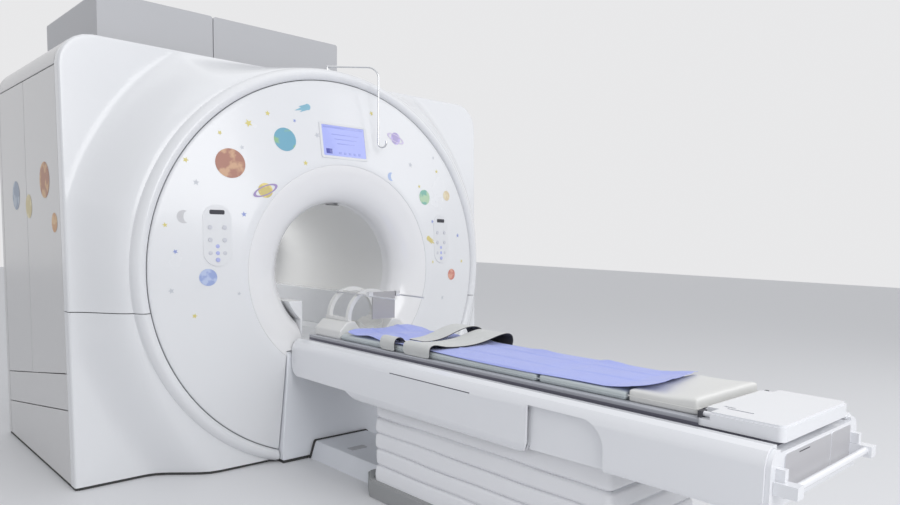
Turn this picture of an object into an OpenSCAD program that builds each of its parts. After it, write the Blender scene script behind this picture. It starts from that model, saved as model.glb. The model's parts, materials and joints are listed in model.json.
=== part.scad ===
// Closed-bore magnetic resonance scanner with a docked, motor-driven patient couch.
// Millimetres, +Z up. The origin is on the floor, straight under the middle of the bore.
// +Y runs along the bore into the machine, and the couch stands on the -Y side.

/* [Gantry] */
// Overall width of the casing
gantry_w = 2524; // [2300:10:2800]
// Height of the casing's roof
gantry_h = 2070; // [2040:5:2200]
// Depth of the casing, from the front disc's rim to the rear cover
gantry_l = 1490; // [1300:10:1800]
// Radius of the casing's long upper corners
shoulder_r = 150; // [60:5:240]
// Wall thickness of the moulded covers
cover_t = 12; // [8:1:18]
// Gap between neighbouring covers
seam_gap = 4; // [2:0.5:8]
// Height of the lower edge of the covers above the floor
cover_lift = 14; // [8:1:24]
// How far the front wings stand back behind the disc, at the floor
wing_back = 200; // [160:5:280]
// Backward lean of the front wings per millimetre of height
wing_lean = 0.035; // [0:0.005:0.06]
// Height of the seam between the upper and lower front covers
front_seam_h = 820; // [600:10:1000]
// Depth of the front cover's return along the casing's sides
front_return = 60; // [40:5:100]

/* [Bore] */
// Height of the bore's axis above the floor
bore_h = 1000; // [980:5:1040]
// Inner radius of the patient bore
bore_r = 355; // [340:1:362]
// Wall thickness of the bore liner
liner_t = 8; // [5:0.5:12]
// Half width of the channel that the tabletop runs in
channel_w = 240; // [238:1:248]
// Height of the ledges beside the channel
ledge_h = 845; // [800:5:870]
// Wall thickness of the bore bed
bed_t = 10; // [6:1:14]
// Radius of the seam between the disc and the bore funnel
funnel_r = 557; // [540:1:580]
// How far the funnel's lip stands in front of the disc's rim
cone_depth = 82; // [60:1:100]
// Radial width of the rounded rim round the front disc
rim_w = 66; // [50:1:80]
// How far the rim's crest stays below the roof
rim_drop = 8; // [4:1:20]

/* [Magnet] */
// Room between the helium vessel and the rim's crest
vessel_room = 137; // [122:5:182]
// Radius of the vessel's warm bore
warm_bore_r = 580; // [560:5:620]
// Length of the helium vessel
vessel_l = 1200; // [1000:10:1300]
// Radial thickness of the gradient coil
gradient_t = 100; // [60:5:105]
// Radial thickness of the body coil's former
body_coil_t = 10; // [6:1:14]
// Height of the floor frame's beams
beam_h = 60; // [50:5:90]

/* [Front fittings] */
// Width of the front display
display_w = 262; // [200:2:320]
// Height of the front display
display_h = 162; // [120:2:200]
// Height of the display's middle
display_z = 1682; // [1660:2:1710]
// Distance of each control panel's middle from the bore's middle plane
panel_x = 695; // [670:1:740]
// Height of the control panels' middle
panel_z = 1178; // [1100:2:1250]
// Width of a control panel
panel_w = 130; // [118:1:150]
// Height of a control panel
panel_h = 290; // [270:1:330]
// Radius of a push button
button_r = 10; // [7:0.5:12]
// How far a push button stands out of its panel
button_out = 3; // [2:0.25:5]
// Travel of a push button
button_travel = 2; // [1:0.25:2.5]
// Radius of the hook arm's rod
hook_rod_r = 5; // [4:0.5:8]

/* [Couch] */
// Half width of the couch over its side covers
couch_w = 330; // [310:1:345]
// Height of the tabletop's upper surface
table_z = 675; // [668:1:680]
// Length of the couch's side covers
couch_l = 2462; // [2300:10:2600]
// Gap between the gantry's funnel and the couch's head end
dock_gap = 8; // [5:1:20]
// Wall thickness of the couch's covers
couch_t = 8; // [5:0.5:10]
// Travel of the couch's lift
lift_travel = 280; // [200:10:285]
// Height of the grey plinth
plinth_h = 85; // [70:1:95]
// Length of the plinth
plinth_l = 1440; // [1300:10:1500]
// Half width of the plinth
plinth_w = 290; // [275:1:310]

/* [Tabletop] */
// Half width of the tabletop
table_w = 232; // [225:1:234]
// Thickness of the tabletop at its middle
table_t = 63; // [56:1:66]
// Thickness of the tabletop at its edges
table_edge_t = 36; // [30:1:40]
// Thickness of the body pads
pad_t = 32; // [26:1:45]
// Half width of the pads
pad_w = 212; // [190:1:222]
// Running clearance between the tabletop and what it slides on
slide_gap = 0.3; // [0.2:0.05:0.6]

/* [Hidden] */
$fn = 96;
tiny = 0.01;
far = 6000;

// Radii that hang on the casing's height
rim_r = gantry_h - bore_h - rim_drop;
disc_r = rim_r - rim_w;
vessel_r = rim_r - vessel_room;

// Height of the couch covers' flat top, under the tabletop's own edge
cover_top = table_z - 18;

// Places along Y, which everything else hangs on
front_y = -gantry_l / 2;
rear_y = gantry_l / 2;
lip_y = front_y - cone_depth;
head_y = lip_y - dock_gap;
foot_y = head_y - couch_l;
vessel_y = front_y + 180;

// White of the covers, and the other colours
white = [0.93, 0.93, 0.94];
shade = [0.80, 0.82, 0.86];
grey = [0.58, 0.60, 0.62];
dark = [0.12, 0.12, 0.13];
steel = [0.72, 0.73, 0.75];
foam = [0.78, 0.80, 0.78];
cloth_blue = [0.58, 0.62, 0.95];

// Moves children from the disc's rim plane and the floor to the part's frame
module at_front() translate([0, front_y, 0]) children();

// Turns a profile of radius and depth about the bore's axis; depth runs along +Y from the rim plane
module bore_turn() at_front() translate([0, 0, bore_h]) rotate([-90, 0, 0]) rotate_extrude($fn = 240) children();

// Extrudes a profile drawn in X and Z along +Y from y0, over a length
module along_y(y0, len) translate([0, y0, 0]) rotate([90, 0, 0]) mirror([0, 0, 1]) linear_extrude(len) children();

// Extrudes a profile drawn in Y and Z along +X from x0, over a width
module along_x(x0, wid) translate([x0, 0, 0]) rotate([90, 0, 90]) linear_extrude(wid) children();

module both_sides() { children(); mirror([1, 0, 0]) children(); }

// A rectangle with rounded corners, centred
module round_rect(w, h, r) {
    square([w - 2 * r, h], center = true);
    square([w, h - 2 * r], center = true);
    for (sx = [-1, 1], sy = [-1, 1]) translate([sx * (w / 2 - r), sy * (h / 2 - r)]) circle(r);
}

// An upright oblong with half-round ends, centred
module pill(w, h) {
    square([w, h - w], center = true);
    for (s = [-1, 1]) translate([0, s * (h - w) / 2]) circle(w / 2);
}

// Outline of the casing seen from the front, inset all round down to a height
module casing_outline(inset, low = cover_lift) {
    w = gantry_w / 2 - inset;
    top = gantry_h - inset;
    r = shoulder_r - inset;
    translate([-w, low]) square([2 * w, top - r - low]);
    translate([-w + r, low]) square([2 * (w - r), top - low]);
    for (s = [-1, 1]) translate([s * (w - r), top - r]) circle(r);
}

// Depth of the disc's cone at a radius, behind the rim plane (negative is in front)
function cone_y(r) = -cone_depth * (disc_r - r) / (disc_r - funnel_r);
cone_slope = atan(cone_depth / (disc_r - funnel_r));

// Depth at which a wing ends, at a height
function wing_y(z) = wing_back + wing_lean * max(z, 0);

/* Front covers */

// Distance from the bore's axis to the casing's outline, in a direction
function box_reach(a) = let (w = gantry_w / 2, t = gantry_h - bore_h)
    min(abs(cos(a)) < 0.001 ? far : w / abs(cos(a)), sin(a) < 0.001 ? far : t / sin(a), 1.6 * w);
function corner_reach(a) = let (w = gantry_w / 2 - shoulder_r, t = gantry_h - bore_h - shoulder_r,
    dx = abs(cos(a)), dz = sin(a), b = dx * w + dz * t, c = w * w + t * t - shoulder_r * shoulder_r)
    b * b < c ? -1 : b + sqrt(b * b - c);
function in_corner(a) = let (q = corner_reach(a))
    q > 0 && abs(cos(a)) * q > gantry_w / 2 - shoulder_r && sin(a) * q > gantry_h - bore_h - shoulder_r;
function casing_reach(a) = in_corner(a) ? corner_reach(a) : box_reach(a);

// The wing's sweep starts further out below the disc, where the rim runs into the floor
function sweep_start(a) = rim_r + 260 * pow(max(0, -sin(a)), 4);
function smooth(t) = let (u = min(1, max(0, t))) u * u * (3 - 2 * u);
rim_front = 18;
function rim_profile() = [[disc_r + seam_gap, 10], [disc_r + 12, -4], [disc_r + 30, -12],
    [disc_r + 46, -6], [rim_r - 6, 12], [rim_r, rim_front + 12]];
function wing_profile(a) = let (r1 = casing_reach(a), r0 = min(sweep_start(a), r1 - 6),
    span = min(240, r1 - r0), out = wing_y(bore_h + r1 * sin(a)))
    [for (i = [0:6]) let (t = i / 6, r = i == 0 ? max(r0, rim_r + 2) : max(r0, rim_r + 2) + t * (r1 - max(r0, rim_r + 2)))
        [r - (i == 6 ? min(10, (r1 - r0) / 20) : 0), rim_front + 16 + (out - rim_front - 16) * smooth((r - r0) / span)]];
// One closed section of the front cover's wall, in radius and depth
function wall_section(a) = let (r1 = casing_reach(a), out = wing_y(bore_h + r1 * sin(a)),
    front = concat(rim_profile(), wing_profile(a)), n = len(front) - 1)
    concat(front, [[r1 - 3, out + 5], [r1, out + 18], [r1, out + front_return],
        [r1 - cover_t, out + front_return], [r1 - cover_t, out + cover_t + 14]],
        [for (i = [n:-1:0]) [min(front[i][0], r1 - cover_t - 2), front[i][1] + cover_t + (i > 5 ? 0 : 0)]]);
// Directions in which the long corner begins and ends
corner_a = atan2(gantry_h - bore_h - shoulder_r, gantry_w / 2);
corner_b = atan2(gantry_h - bore_h, gantry_w / 2 - shoulder_r);
half_turn = concat([for (a = [-88:8:-8]) a], [for (i = [0:8]) -2 + i * (corner_a - 1.5) / 9],
    [for (i = [0:18]) corner_a - 0.5 + i * (corner_b - corner_a + 1) / 18], [for (i = [1:7]) corner_b + i * (86 - corner_b) / 7]);
turn = concat([-90], half_turn, [90], [for (i = [len(half_turn) - 1:-1:0]) 180 - half_turn[i]]);
module front_shell() {
    m = len(wall_section(0));
    n = len(turn);
    pts = [for (a = turn, q = wall_section(a)) [q[0] * cos(a), q[1], bore_h + q[0] * sin(a)]];
    faces = [for (i = [0:n - 1], j = [0:m - 1]) let (i2 = (i + 1) % n, j2 = (j + 1) % m)
        each [[i * m + j, i * m + j2, i2 * m + j2], [i * m + j, i2 * m + j2, i2 * m + j]]];
    at_front() polyhedron(pts, faces);
}
// Room for the dock column, cut out of the front covers
column_w = 352;
column_h = 596;
module column_room(extra) translate([-column_w - extra, lip_y - 60, -1])
    cube([2 * (column_w + extra), cone_depth + 460, column_h + extra + 1]);
hand_slot = [215, 62];
module front_cover_upper() color(white) difference() {
    front_shell();
    translate([-far / 2, front_y - 100, -far + front_seam_h + seam_gap / 2]) cube(far);
    at_front() translate([hand_slot[0], hand_slot[1], gantry_h - 60]) linear_extrude(80)
        round_rect(130, 18, 8.9);
    at_front() translate([hook_at[0], hook_at[1], hook_seat]) cylinder(h = 30, r = 16.5);
}
module front_cover_lower() color(white) difference() {
    front_shell();
    translate([-far / 2, front_y - 100, front_seam_h - seam_gap / 2]) cube(far);
    translate([-far / 2, front_y - 100, -far + cover_lift]) cube(far);
    column_room(seam_gap);
}

// Seat of a fitting on the cone: x and z of its middle
module on_cone(x, z) {
    r = norm([x, z - bore_h]);
    at_front() translate([x, cone_y(r), z])
        rotate([-cone_slope * (z - bore_h) / r, 0, cone_slope * x / r]) rotate([90, 0, 0]) children();
}
module front_disc() color(white) difference() {
    bore_turn() polygon([[funnel_r + seam_gap / 2, cone_y(funnel_r + 2)], [disc_r - 30, cone_y(disc_r - 30)],
        [disc_r - 12, cone_y(disc_r - 12) + 1], [disc_r - 3, 3], [disc_r, 10], [disc_r, 22],
        [disc_r - cover_t, 22], [disc_r - 40, cone_y(disc_r - 40) + cover_t],
        [funnel_r + seam_gap / 2, cone_y(funnel_r) + cover_t]]);
    column_room(seam_gap);
    on_cone(0, display_z) translate([0, 0, -40]) linear_extrude(80) round_rect(display_w + 29, display_h + 29, 12.5);
    for (s = [-1, 1]) on_cone(s * panel_x, panel_z) translate([0, 0, -40])
        linear_extrude(80) pill(panel_w + 1, panel_h + 1);
}
// The funnel's lip rolls back into the bore on a quarter of an ellipse
funnel_mouth_y = 40;
function funnel_curve(out) = [for (i = [0:12]) let (a = i * 7.5)
    [bore_r + 6 + out - (out > 0 ? 0 : 0) + (funnel_r - bore_r - 6 - out - seam_gap / 2) * (1 - sin(a)),
     funnel_mouth_y - (funnel_mouth_y + cone_depth - out) * cos(a)]];
module bed_room(extra) along_y(front_y - 400, gantry_l + 800)
    translate([-channel_w - bed_t - extra, table_low - bed_t - slide_gap - extra])
        square([2 * (channel_w + bed_t + extra), 748 - table_low + bed_t + extra]);
flange_w = 20;
module front_funnel() color(white) difference() {
    bore_turn() polygon(concat(funnel_curve(0), [[bore_r, funnel_mouth_y + 30], [bore_r + cover_t, funnel_mouth_y + 30]],
        [for (i = [12:-1:1]) funnel_curve(cover_t)[i]], [[funnel_r - 12, cone_y(funnel_r) + cover_t + 10],
        [funnel_r + flange_w, cone_y(funnel_r + flange_w) + cover_t + 8],
        [funnel_r + flange_w, cone_y(funnel_r + flange_w) + cover_t + 0.3], funnel_curve(cover_t)[0]]));
    bed_room(2);
    column_room(2);
}
module rear_funnel() color(white) translate([0, 2 * rear_y, 0]) mirror([0, 1, 0]) difference() {
    translate([0, rear_y - front_y, 0]) bore_turn() polygon([[bore_r, 90], [bore_r, 60], [bore_r + 8, 30],
        [bore_r + 34, 10], [bore_r + 90, 0], [funnel_r - 30, 0], [funnel_r - 30, cover_t], [bore_r + 92, cover_t],
        [bore_r + 42, 20], [bore_r + 20, 36], [bore_r + cover_t, 62], [bore_r + cover_t, 90]]);
    translate([0, rear_y - front_y, 0]) bed_room(2);
}

/* Side, roof and rear covers */

side_split = 900;
panel_top = gantry_h - shoulder_r;
skirt_front = 340;
skirt_rear = 190;
front_edge = front_return + seam_gap;
// Side of the casing in Y and Z between two heights given at the front and at the rear
module side_sheet(z1, z2, zt, y1, y2) {
    function edge(z) = y1 < 0 ? wing_y(z) + front_edge : y1;
    at_front() along_x(-gantry_w / 2, cover_t)
        polygon([[edge(z1), z1], [edge(zt), zt], [y2, zt], [y2, z2]]);
}
rear_edge = gantry_l - cover_t - 40 - seam_gap;
function skirt_z(y) = skirt_front + (skirt_rear - skirt_front) * (y - 400) / 1100;
band = 175;
module side_panels() color(white) both_sides() {
    side_sheet(skirt_z(260) + band, skirt_z(side_split) + band, panel_top, -1, side_split);
    side_sheet(skirt_z(side_split) + band, skirt_z(rear_edge) + band, panel_top, side_split + seam_gap, rear_edge);
}
module side_skirts() color(white) both_sides() {
    at_front() along_x(-gantry_w / 2, cover_t) polygon([[wing_y(skirt_z(260)) + front_edge, skirt_z(260) + seam_gap],
        [wing_y(skirt_z(260) + band) + front_edge, skirt_z(260) + band - seam_gap],
        [rear_edge, skirt_z(rear_edge) + band - seam_gap], [rear_edge, skirt_z(rear_edge) + seam_gap]]);
    at_front() along_x(-gantry_w / 2, cover_t) polygon([[wing_y(0) + front_edge, cover_lift],
        [wing_y(skirt_z(260)) + front_edge, skirt_z(260)], [rear_edge, skirt_z(rear_edge)], [rear_edge, cover_lift]]);
}
roof_front = wing_y(gantry_h) + front_edge;
module roof_cover() color(white) difference() {
    intersection() {
        at_front() along_y(roof_front, rear_edge - roof_front) difference() {
            casing_outline(0);
            casing_outline(cover_t);
        }
        translate([-far / 2, -far / 2, panel_top + seam_gap]) cube(far);
    }
    translate([turret_x0 + 40, front_y + turret_y0 + 40, gantry_h - 60])
        cube([turret_x1 - turret_x0 - 80, turret_l - 80, 80]);
}
turret_x0 = -1060;
turret_x1 = 250;
turret_y0 = 400;
turret_l = 860;
turret_h = 235;
turret_seam = -503;
module turret_box(x0, x1, open_low, open_high) translate([x0, front_y + turret_y0, gantry_h + 0.3]) difference() {
    along_y(0, turret_l) hull_free_lid(x1 - x0, turret_h);
    translate([open_low ? -1 : cover_t, cover_t, -1])
        cube([x1 - x0 - (open_low ? -1 : cover_t) - (open_high ? -1 : cover_t), turret_l - 2 * cover_t, turret_h - cover_t + 1]);
}
// A plain upright rectangle with softly rounded upper corners
module hull_free_lid(w, h) {
    r = 14;
    square([w, h - r]);
    translate([r, 0]) square([w - 2 * r, h]);
    for (x = [r, w - r]) translate([x, h - r]) circle(r);
}
module turret_covers() color(shade) {
    turret_box(turret_x0, turret_seam - seam_gap / 2, false, true);
    turret_box(turret_seam + seam_gap / 2, turret_x1, true, false);
}
module rear_cover() color(white) difference() {
    at_front() union() {
        along_y(gantry_l - cover_t, cover_t) casing_outline(9);
        along_y(gantry_l - cover_t - 3, 10) casing_outline(3);
        along_y(gantry_l - cover_t - 40, 46) difference() {
            casing_outline(0);
            casing_outline(cover_t);
        }
    }
    at_front() translate([0, gantry_l - 100, bore_h]) rotate([-90, 0, 0]) cylinder(h = 200, r = funnel_r - 26, $fn = 240);
}
// Hoops and a ring that the covers hang on, and the brackets under the bore bed
module support_frame() color(grey) {
    low = table_low - bed_t - 2 * slide_gap;
    for (y = [vessel_y - 20 - slide_gap, vessel_y + vessel_l + slide_gap])
        translate([-150, y, bore_h - vessel_r + 200]) cube([300, 20, low - bore_h + vessel_r - 200]);
    at_front() hoops();
}
module hoops() {
    difference() {
        along_y(wing_back + 32, 120) hoop();
        translate([0, wing_back + 32, 0]) rotate([-atan(wing_lean), 0, 0]) translate([-far / 2, -500, -far / 2])
            cube([far, 500, far]);
    }
    difference() {
        along_y(side_split - 40, 84) hoop();
        translate([turret_c[0] - turret_r - 10, side_split - 50, gantry_h - 60]) cube([2 * turret_r + 20, 104, 60]);
    }
    along_y(rear_edge - 34, 70) hoop();
    for (s = [-1, 1], z = [0, 560]) translate([s * (gantry_w / 2 - cover_t - hoop_t / 2 - slide_gap) - hoop_t / 2, wing_back + 100, z])
        cube([hoop_t, rear_edge - wing_back - 100, 40]);
    difference() {
        translate([0, 22.3, bore_h]) rotate([-90, 0, 0]) difference() {
            cylinder(h = 60, r = rim_r - 22, $fn = 240);
            translate([0, 0, -1]) cylinder(h = 62, r = disc_r - 22, $fn = 240);
        }
        translate([-column_w - seam_gap, 0, -100]) cube([2 * (column_w + seam_gap), 200, 400]);
    }
    for (s = [-1, 1]) translate([s * (column_w + 33) - 34.7, 70, 0]) cube([69.4, 40, 130]);
    // Struts that tie the ring to the front hoop
    both_sides() translate([0, 0, bore_h - 20]) linear_extrude(40) polygon([[disc_r + 4, 62], [rim_r - 23, 62],
        [rim_r - 23, 110], [gantry_w / 2 - 24, wing_back + 90], [gantry_w / 2 - 17, wing_back + 90],
        [gantry_w / 2 - 17, wing_back + 140], [gantry_w / 2 - 30, wing_back + 140], [disc_r + 4, 110]]);
}
hoop_t = 10;
module hoop() difference() {
    casing_outline(cover_t + slide_gap, 0);
    casing_outline(cover_t + slide_gap + hoop_t, -1);
}
// Depth of the front covers' outer face at their lower edge, at a distance from the middle
function hem_y(x) = let (d = bore_h - cover_lift, a = -atan2(d, x), r = norm([x, d]), r1 = casing_reach(a),
    r0 = min(sweep_start(a), r1 - 6)) rim_front + 16 + (wing_y(cover_lift) - rim_front - 16)
    * smooth((r - r0) / min(240, r1 - r0));
gasket_h = cover_lift - slide_gap;
hem_x = [for (i = [0:20]) 400 + i * (gantry_w / 2 - 417) / 20];
module floor_gasket() color(dark) {
    side = gantry_w / 2 - 4;
    at_front() both_sides() {
        linear_extrude(gasket_h) polygon(concat([for (x = hem_x) [-x, hem_y(x) + 5]],
            [for (i = [20:-1:0]) [-hem_x[i], hem_y(hem_x[i]) + 17]]));
        translate([-side, wing_back + 9, 0]) cube([8, gantry_l - wing_back - 14, gasket_h]);
        translate([-side, wing_back + 9, 0]) cube([20, 8, gasket_h]);
    }
    at_front() translate([-side, gantry_l - 13, 0]) cube([2 * side, 8, gasket_h]);
    // Strips under the dock column
    at_front() both_sides() {
        translate([-column_w + 4, 2 - column_foot, 0]) cube([8, column_back + column_foot - 4, gasket_h]);
        translate([-column_w + 4, 2 - column_foot, 0]) cube([column_w - 4 - duct_w - 20.3, 8, gasket_h]);
    }
}

/* Bore and magnet */

bed_y0 = -40;
bed_l = gantry_l - 60;
// Half of the channel's inner outline, from the ledge down to the floor's middle
table_low = table_z - table_t;
bevel_in = 62;
function channel_half(grow) = [[channel_w + grow, table_z - table_edge_t - 8 - grow / 2],
    [table_w - bevel_in + 6 + grow / 2, table_low - slide_gap - grow]];
function mirror_x(list) = [for (i = [len(list) - 1:-1:0]) [-list[i][0], list[i][1]]];
function wall_arc(r) = [for (i = [0:6]) let (z = ledge_h - i * (ledge_h - 748) / 6) [sqrt(r * r - pow(bore_h - z, 2)), z]];
// The trough that the tabletop runs in: a floor, two slopes and two walls, a hair apart
module trough(wall, side) {
    a = channel_half(0);
    b = channel_half(wall);
    function part_way(p, t) = p[1] + t * (p[0] - p[1]);
    polygon([a[1], b[1], [-b[1][0], b[1][1]], [-a[1][0], a[1][1]]]);
    for (s = [0, 1]) mirror([s, 0]) {
        polygon([part_way(a, 0.005), part_way(a, 0.995), part_way(b, 0.995), part_way(b, 0.005)]);
        polygon(concat([a[0], b[0]], side));
    }
}
module bore_bed() color(white) at_front() along_y(bed_y0, bed_l) {
    arc = wall_arc(bore_r - slide_gap);
    trough(bed_t, concat([[channel_w + bed_t, 740]], [for (i = [6:-1:0]) arc[i]], [[channel_w, ledge_h]]));
}
liner_y0 = funnel_mouth_y + 30 + 0.3;
module bore_liner() color(shade) difference() {
    at_front() translate([0, liner_y0, bore_h]) rotate([-90, 0, 0]) difference() {
        cylinder(h = gantry_l - 90 - liner_y0 - 0.3, r = bore_r + liner_t);
        translate([0, 0, -1]) cylinder(h = gantry_l, r = bore_r);
    }
    along_y(front_y - 400, gantry_l + 800) translate([-channel_w - bed_t - slide_gap, 500])
        square([2 * (channel_w + bed_t + slide_gap), 260]);
}
module on_bore_top() at_front() translate([0, funnel_mouth_y + 14, bore_h + bore_r - 3.6]) children();
// Radii of the coils nest outwards from the body coil's former
gradient_r = warm_bore_r - slide_gap;
module tube_y(y0, len, r_out, r_in) at_front() translate([0, y0, bore_h]) rotate([-90, 0, 0]) difference() {
    cylinder(h = len, r = r_out);
    translate([0, 0, -1]) cylinder(h = len + 2, r = r_in);
}
module magnet_vessel() color(steel) bore_turn() {
    y0 = vessel_y - front_y;
    y1 = y0 + vessel_l;
    polygon([[warm_bore_r, y0 + 14], [warm_bore_r + 14, y0], [vessel_r - 70, y0], [vessel_r - 22, y0 + 22],
        [vessel_r, y0 + 70], [vessel_r, y1 - 70], [vessel_r - 22, y1 - 22], [vessel_r - 70, y1],
        [warm_bore_r + 14, y1], [warm_bore_r, y1 - 14]]);
}
module gradient_coil() color([0.75, 0.55, 0.35]) tube_y(vessel_y - front_y + 40, vessel_l - 80, gradient_r, gradient_r - gradient_t);
body_coil_r = gradient_r - gradient_t - slide_gap;
module body_coil() color([0.80, 0.60, 0.40]) {
    y0 = vessel_y - front_y + vessel_l / 2;
    tube_y(y0 - 330, 40, body_coil_r, body_coil_r - body_coil_t);
    tube_y(y0 + 290, 40, body_coil_r, body_coil_r - body_coil_t);
    for (i = [0:15]) translate([0, front_y, bore_h]) rotate([0, i * 22.5, 0])
        translate([-14, y0 - 291, body_coil_r - body_coil_t]) cube([28, 582, body_coil_t - 2]);
}
foot_x = 0.605 * vessel_r;
module floor_frame() color(grey) {
    difference() {
        union() {
            for (s = [-1, 1]) translate([s * foot_x - 60, -620, 0]) cube([120, 1240, beam_h]);
            for (y = [-420, 0, 420]) translate([-foot_x, y - 50, 0]) cube([2 * foot_x, 100, beam_h]);
            for (sx = [-1, 1], y = [-420, 420]) translate([sx * foot_x - 55, y - 90, beam_h - 1])
                cube([110, 180, bore_h - 0.69 * vessel_r - beam_h]);
        }
        translate([0, -far / 2, bore_h]) rotate([-90, 0, 0]) cylinder(h = far, r = vessel_r + 0.3);
    }
}
turret_c = [-400, 830];
turret_r = 190;
module service_turret() color(steel) at_front() difference() {
    translate([turret_c[0], turret_c[1], bore_h + 0.7 * vessel_r])
        cylinder(h = gantry_h + 60 - bore_h - 0.7 * vessel_r, r = turret_r);
    translate([0, 0, bore_h]) rotate([-90, 0, 0]) cylinder(h = 3000, r = vessel_r + 0.3, $fn = 360);
}
module cold_head() color(dark) at_front() translate([turret_c[0], turret_c[1], gantry_h + 60.2]) {
    cylinder(h = 50, r = 90);
    translate([0, 0, 50]) cylinder(h = 90, r = 62);
    translate([60, -30, 60]) cube([70, 60, 60]);
}

/* Front fittings */

// Screen and frame share one seat on the disc
module display_bezel() on_cone(0, display_z) translate([0, 0, -10]) difference() {
    linear_extrude(12) round_rect(display_w + 28, display_h + 28, 12);
    translate([0, 0, 6]) linear_extrude(20) round_rect(display_w + 1, display_h + 1, 3);
}
module display_screen() color([0.45, 0.50, 0.95]) on_cone(0, display_z) translate([0, 0, -4])
    linear_extrude(5) round_rect(display_w, display_h, 2.5);
// Places of the keys on a panel, right and up from its middle; the last three are touch keys
readout_at = [0, 108];
key_at = [[-33, 37], [33, 37], [-33, -22], [33, -22], [0, -52], [-33, -84], [0, -84], [33, -84], [0, -116]];
button_keys = [0, 1, 2, 3, 8];
touch_keys = [4, 5, 6, 7];
panel_t = 8;
module on_panel(s) on_cone(s * panel_x, panel_z) children();
module fascia_panels() color(white) {
    display_bezel();
    for (s = [-1, 1]) control_panel(s);
}
module control_panel(s) on_panel(s) {
    difference() {
        translate([0, 0, -panel_t]) linear_extrude(panel_t + 1.5) pill(panel_w, panel_h);
        for (k = button_keys) translate([key_at[k][0], key_at[k][1], -panel_t + 2]) cylinder(h = 40, r = button_r + 0.3);
        translate([readout_at[0], readout_at[1], -1.5]) linear_extrude(10) round_rect(69, 21, 6.5);
        for (k = touch_keys) translate([key_at[k][0], key_at[k][1], 1]) cylinder(h = 5, r = button_r);
    }
}
module dark_windows() color(dark) {
    for (s = [-1, 1]) on_panel(s) translate([readout_at[0], readout_at[1], -1.3])
        linear_extrude(3.2) round_rect(68.4, 20.4, 6.2);
    on_bore_top() cube([70, 26, 3], center = true);
}
module button(s, i) color(i == 4 ? [0.6, 0.65, 0.95] : shade) on_panel(s)
    translate([key_at[button_keys[i]][0], key_at[button_keys[i]][1], 1.5 + button_out - panel_t]) {
        cylinder(h = panel_t - 0.8, r = button_r);
        translate([0, 0, panel_t - 0.8]) cylinder(h = 0.8, r1 = button_r, r2 = button_r - 0.8);
    }
module button_l1() button(-1, 0);
module button_l2() button(-1, 1);
module button_l3() button(-1, 2);
module button_l4() button(-1, 3);
module button_l5() button(-1, 4);
module button_r1() button(1, 0);
module button_r2() button(1, 1);
module button_r3() button(1, 2);
module button_r4() button(1, 3);
module button_r5() button(1, 4);

hook_at = [-6, 100];
hook_top = gantry_h + 24;
hook_reach = 280;
hook_turn = -45.5;
hook_low = 1670;
hook_seat = gantry_h - 8;
module hook_socket() color(steel) at_front() translate([hook_at[0], hook_at[1], hook_seat + 0.3]) difference() {
    cylinder(h = 18, r = 16);
    translate([0, 0, 3]) cylinder(h = 20, r = hook_rod_r + 0.3);
}
module elbow(r, a) rotate_extrude(angle = a) translate([r, 0]) circle(hook_rod_r);
module hook_arm() color(steel) at_front() translate([hook_at[0], hook_at[1], 0]) rotate([0, 0, hook_turn]) {
    bend = 60;
    translate([0, 0, hook_seat + 3.6]) cylinder(h = hook_top - hook_seat - 3.6, r = hook_rod_r);
    translate([0, 0, hook_top]) sphere(hook_rod_r);
    translate([0, 0, hook_top]) rotate([0, 90, 0]) cylinder(h = hook_reach - bend, r = hook_rod_r);
    translate([hook_reach - bend, 0, hook_top - bend]) rotate([90, 0, 0]) elbow(bend, 90);
    translate([hook_reach, 0, hook_low + 22]) cylinder(h = hook_top - bend - hook_low - 22, r = hook_rod_r);
    translate([hook_reach + 22, 0, hook_low + 22]) rotate([-90, 0, 0]) mirror([1, 0, 0]) elbow(22, 180);
    translate([hook_reach + 44, 0, hook_low + 22]) cylinder(h = 14, r = hook_rod_r);
}

/* Dock, plinth and lift */

column_back = 140;
// How far the column's foot stands in front of the disc's rim
column_foot = 38;
module dock_column() color(shade) {
    difference() {
        at_front() along_x(-column_w + 2, 2 * column_w - 4)
            polygon([[-column_foot, cover_lift], [-column_foot, channel_top + 6], [lip_y - front_y + 2, 470], [lip_y - front_y + 2, column_h - 20],
                [lip_y - front_y + 14, column_h - 2], [column_back, column_h - 2], [column_back, cover_lift]]);
        at_front() along_x(-column_w + 14, 2 * column_w - 28)
            polygon([[12 - column_foot, -1], [12 - column_foot, channel_top + 6], [lip_y - front_y + 14, 470], [lip_y - front_y + 14, column_h - 14],
                [column_back + 1, column_h - 14], [column_back + 1, -1]]);
    }
}
channel_top = 90;
duct_w = 180;
plinth_y0 = front_y - 612;
nose_l = 108;
nose_w = 66;
module plinth_plan(inset) {
    w = plinth_w - inset;
    y0 = -inset;
    y1 = -plinth_l + inset;
    polygon([[-w + nose_w, y0], [w - nose_w, y0], [w - 6, -nose_l + 14], [w, -nose_l], [w, y1 + 16], [w - 5, y1 + 5],
        [w - 16, y1], [-w + 16, y1], [-w + 5, y1 + 5], [-w, y1 + 16], [-w, -nose_l], [-w + 6, -nose_l + 14]]);
}
plate_w = 96;
module duct_section(grow) polygon([[-duct_w - 15 - grow, 0], [-duct_w + 13 - grow, channel_top - 6 + grow],
    [-duct_w + 19 - grow / 2, channel_top + grow], [duct_w - 19 + grow / 2, channel_top + grow],
    [duct_w - 13 + grow, channel_top - 6 + grow], [duct_w + 15 + grow, 0]]);
module floor_channel() color(grey) {
    along_y(plinth_y0 + slide_gap, front_y - column_foot - plinth_y0 - 2 * slide_gap) duct_section(0);
    along_y(front_y - column_foot - slide_gap - 14, 14) duct_section(5);
    translate([-70, front_y - 300, channel_top - 1]) linear_extrude(4) round_rect(plate_w, plate_w / 2, 6);
}
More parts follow.
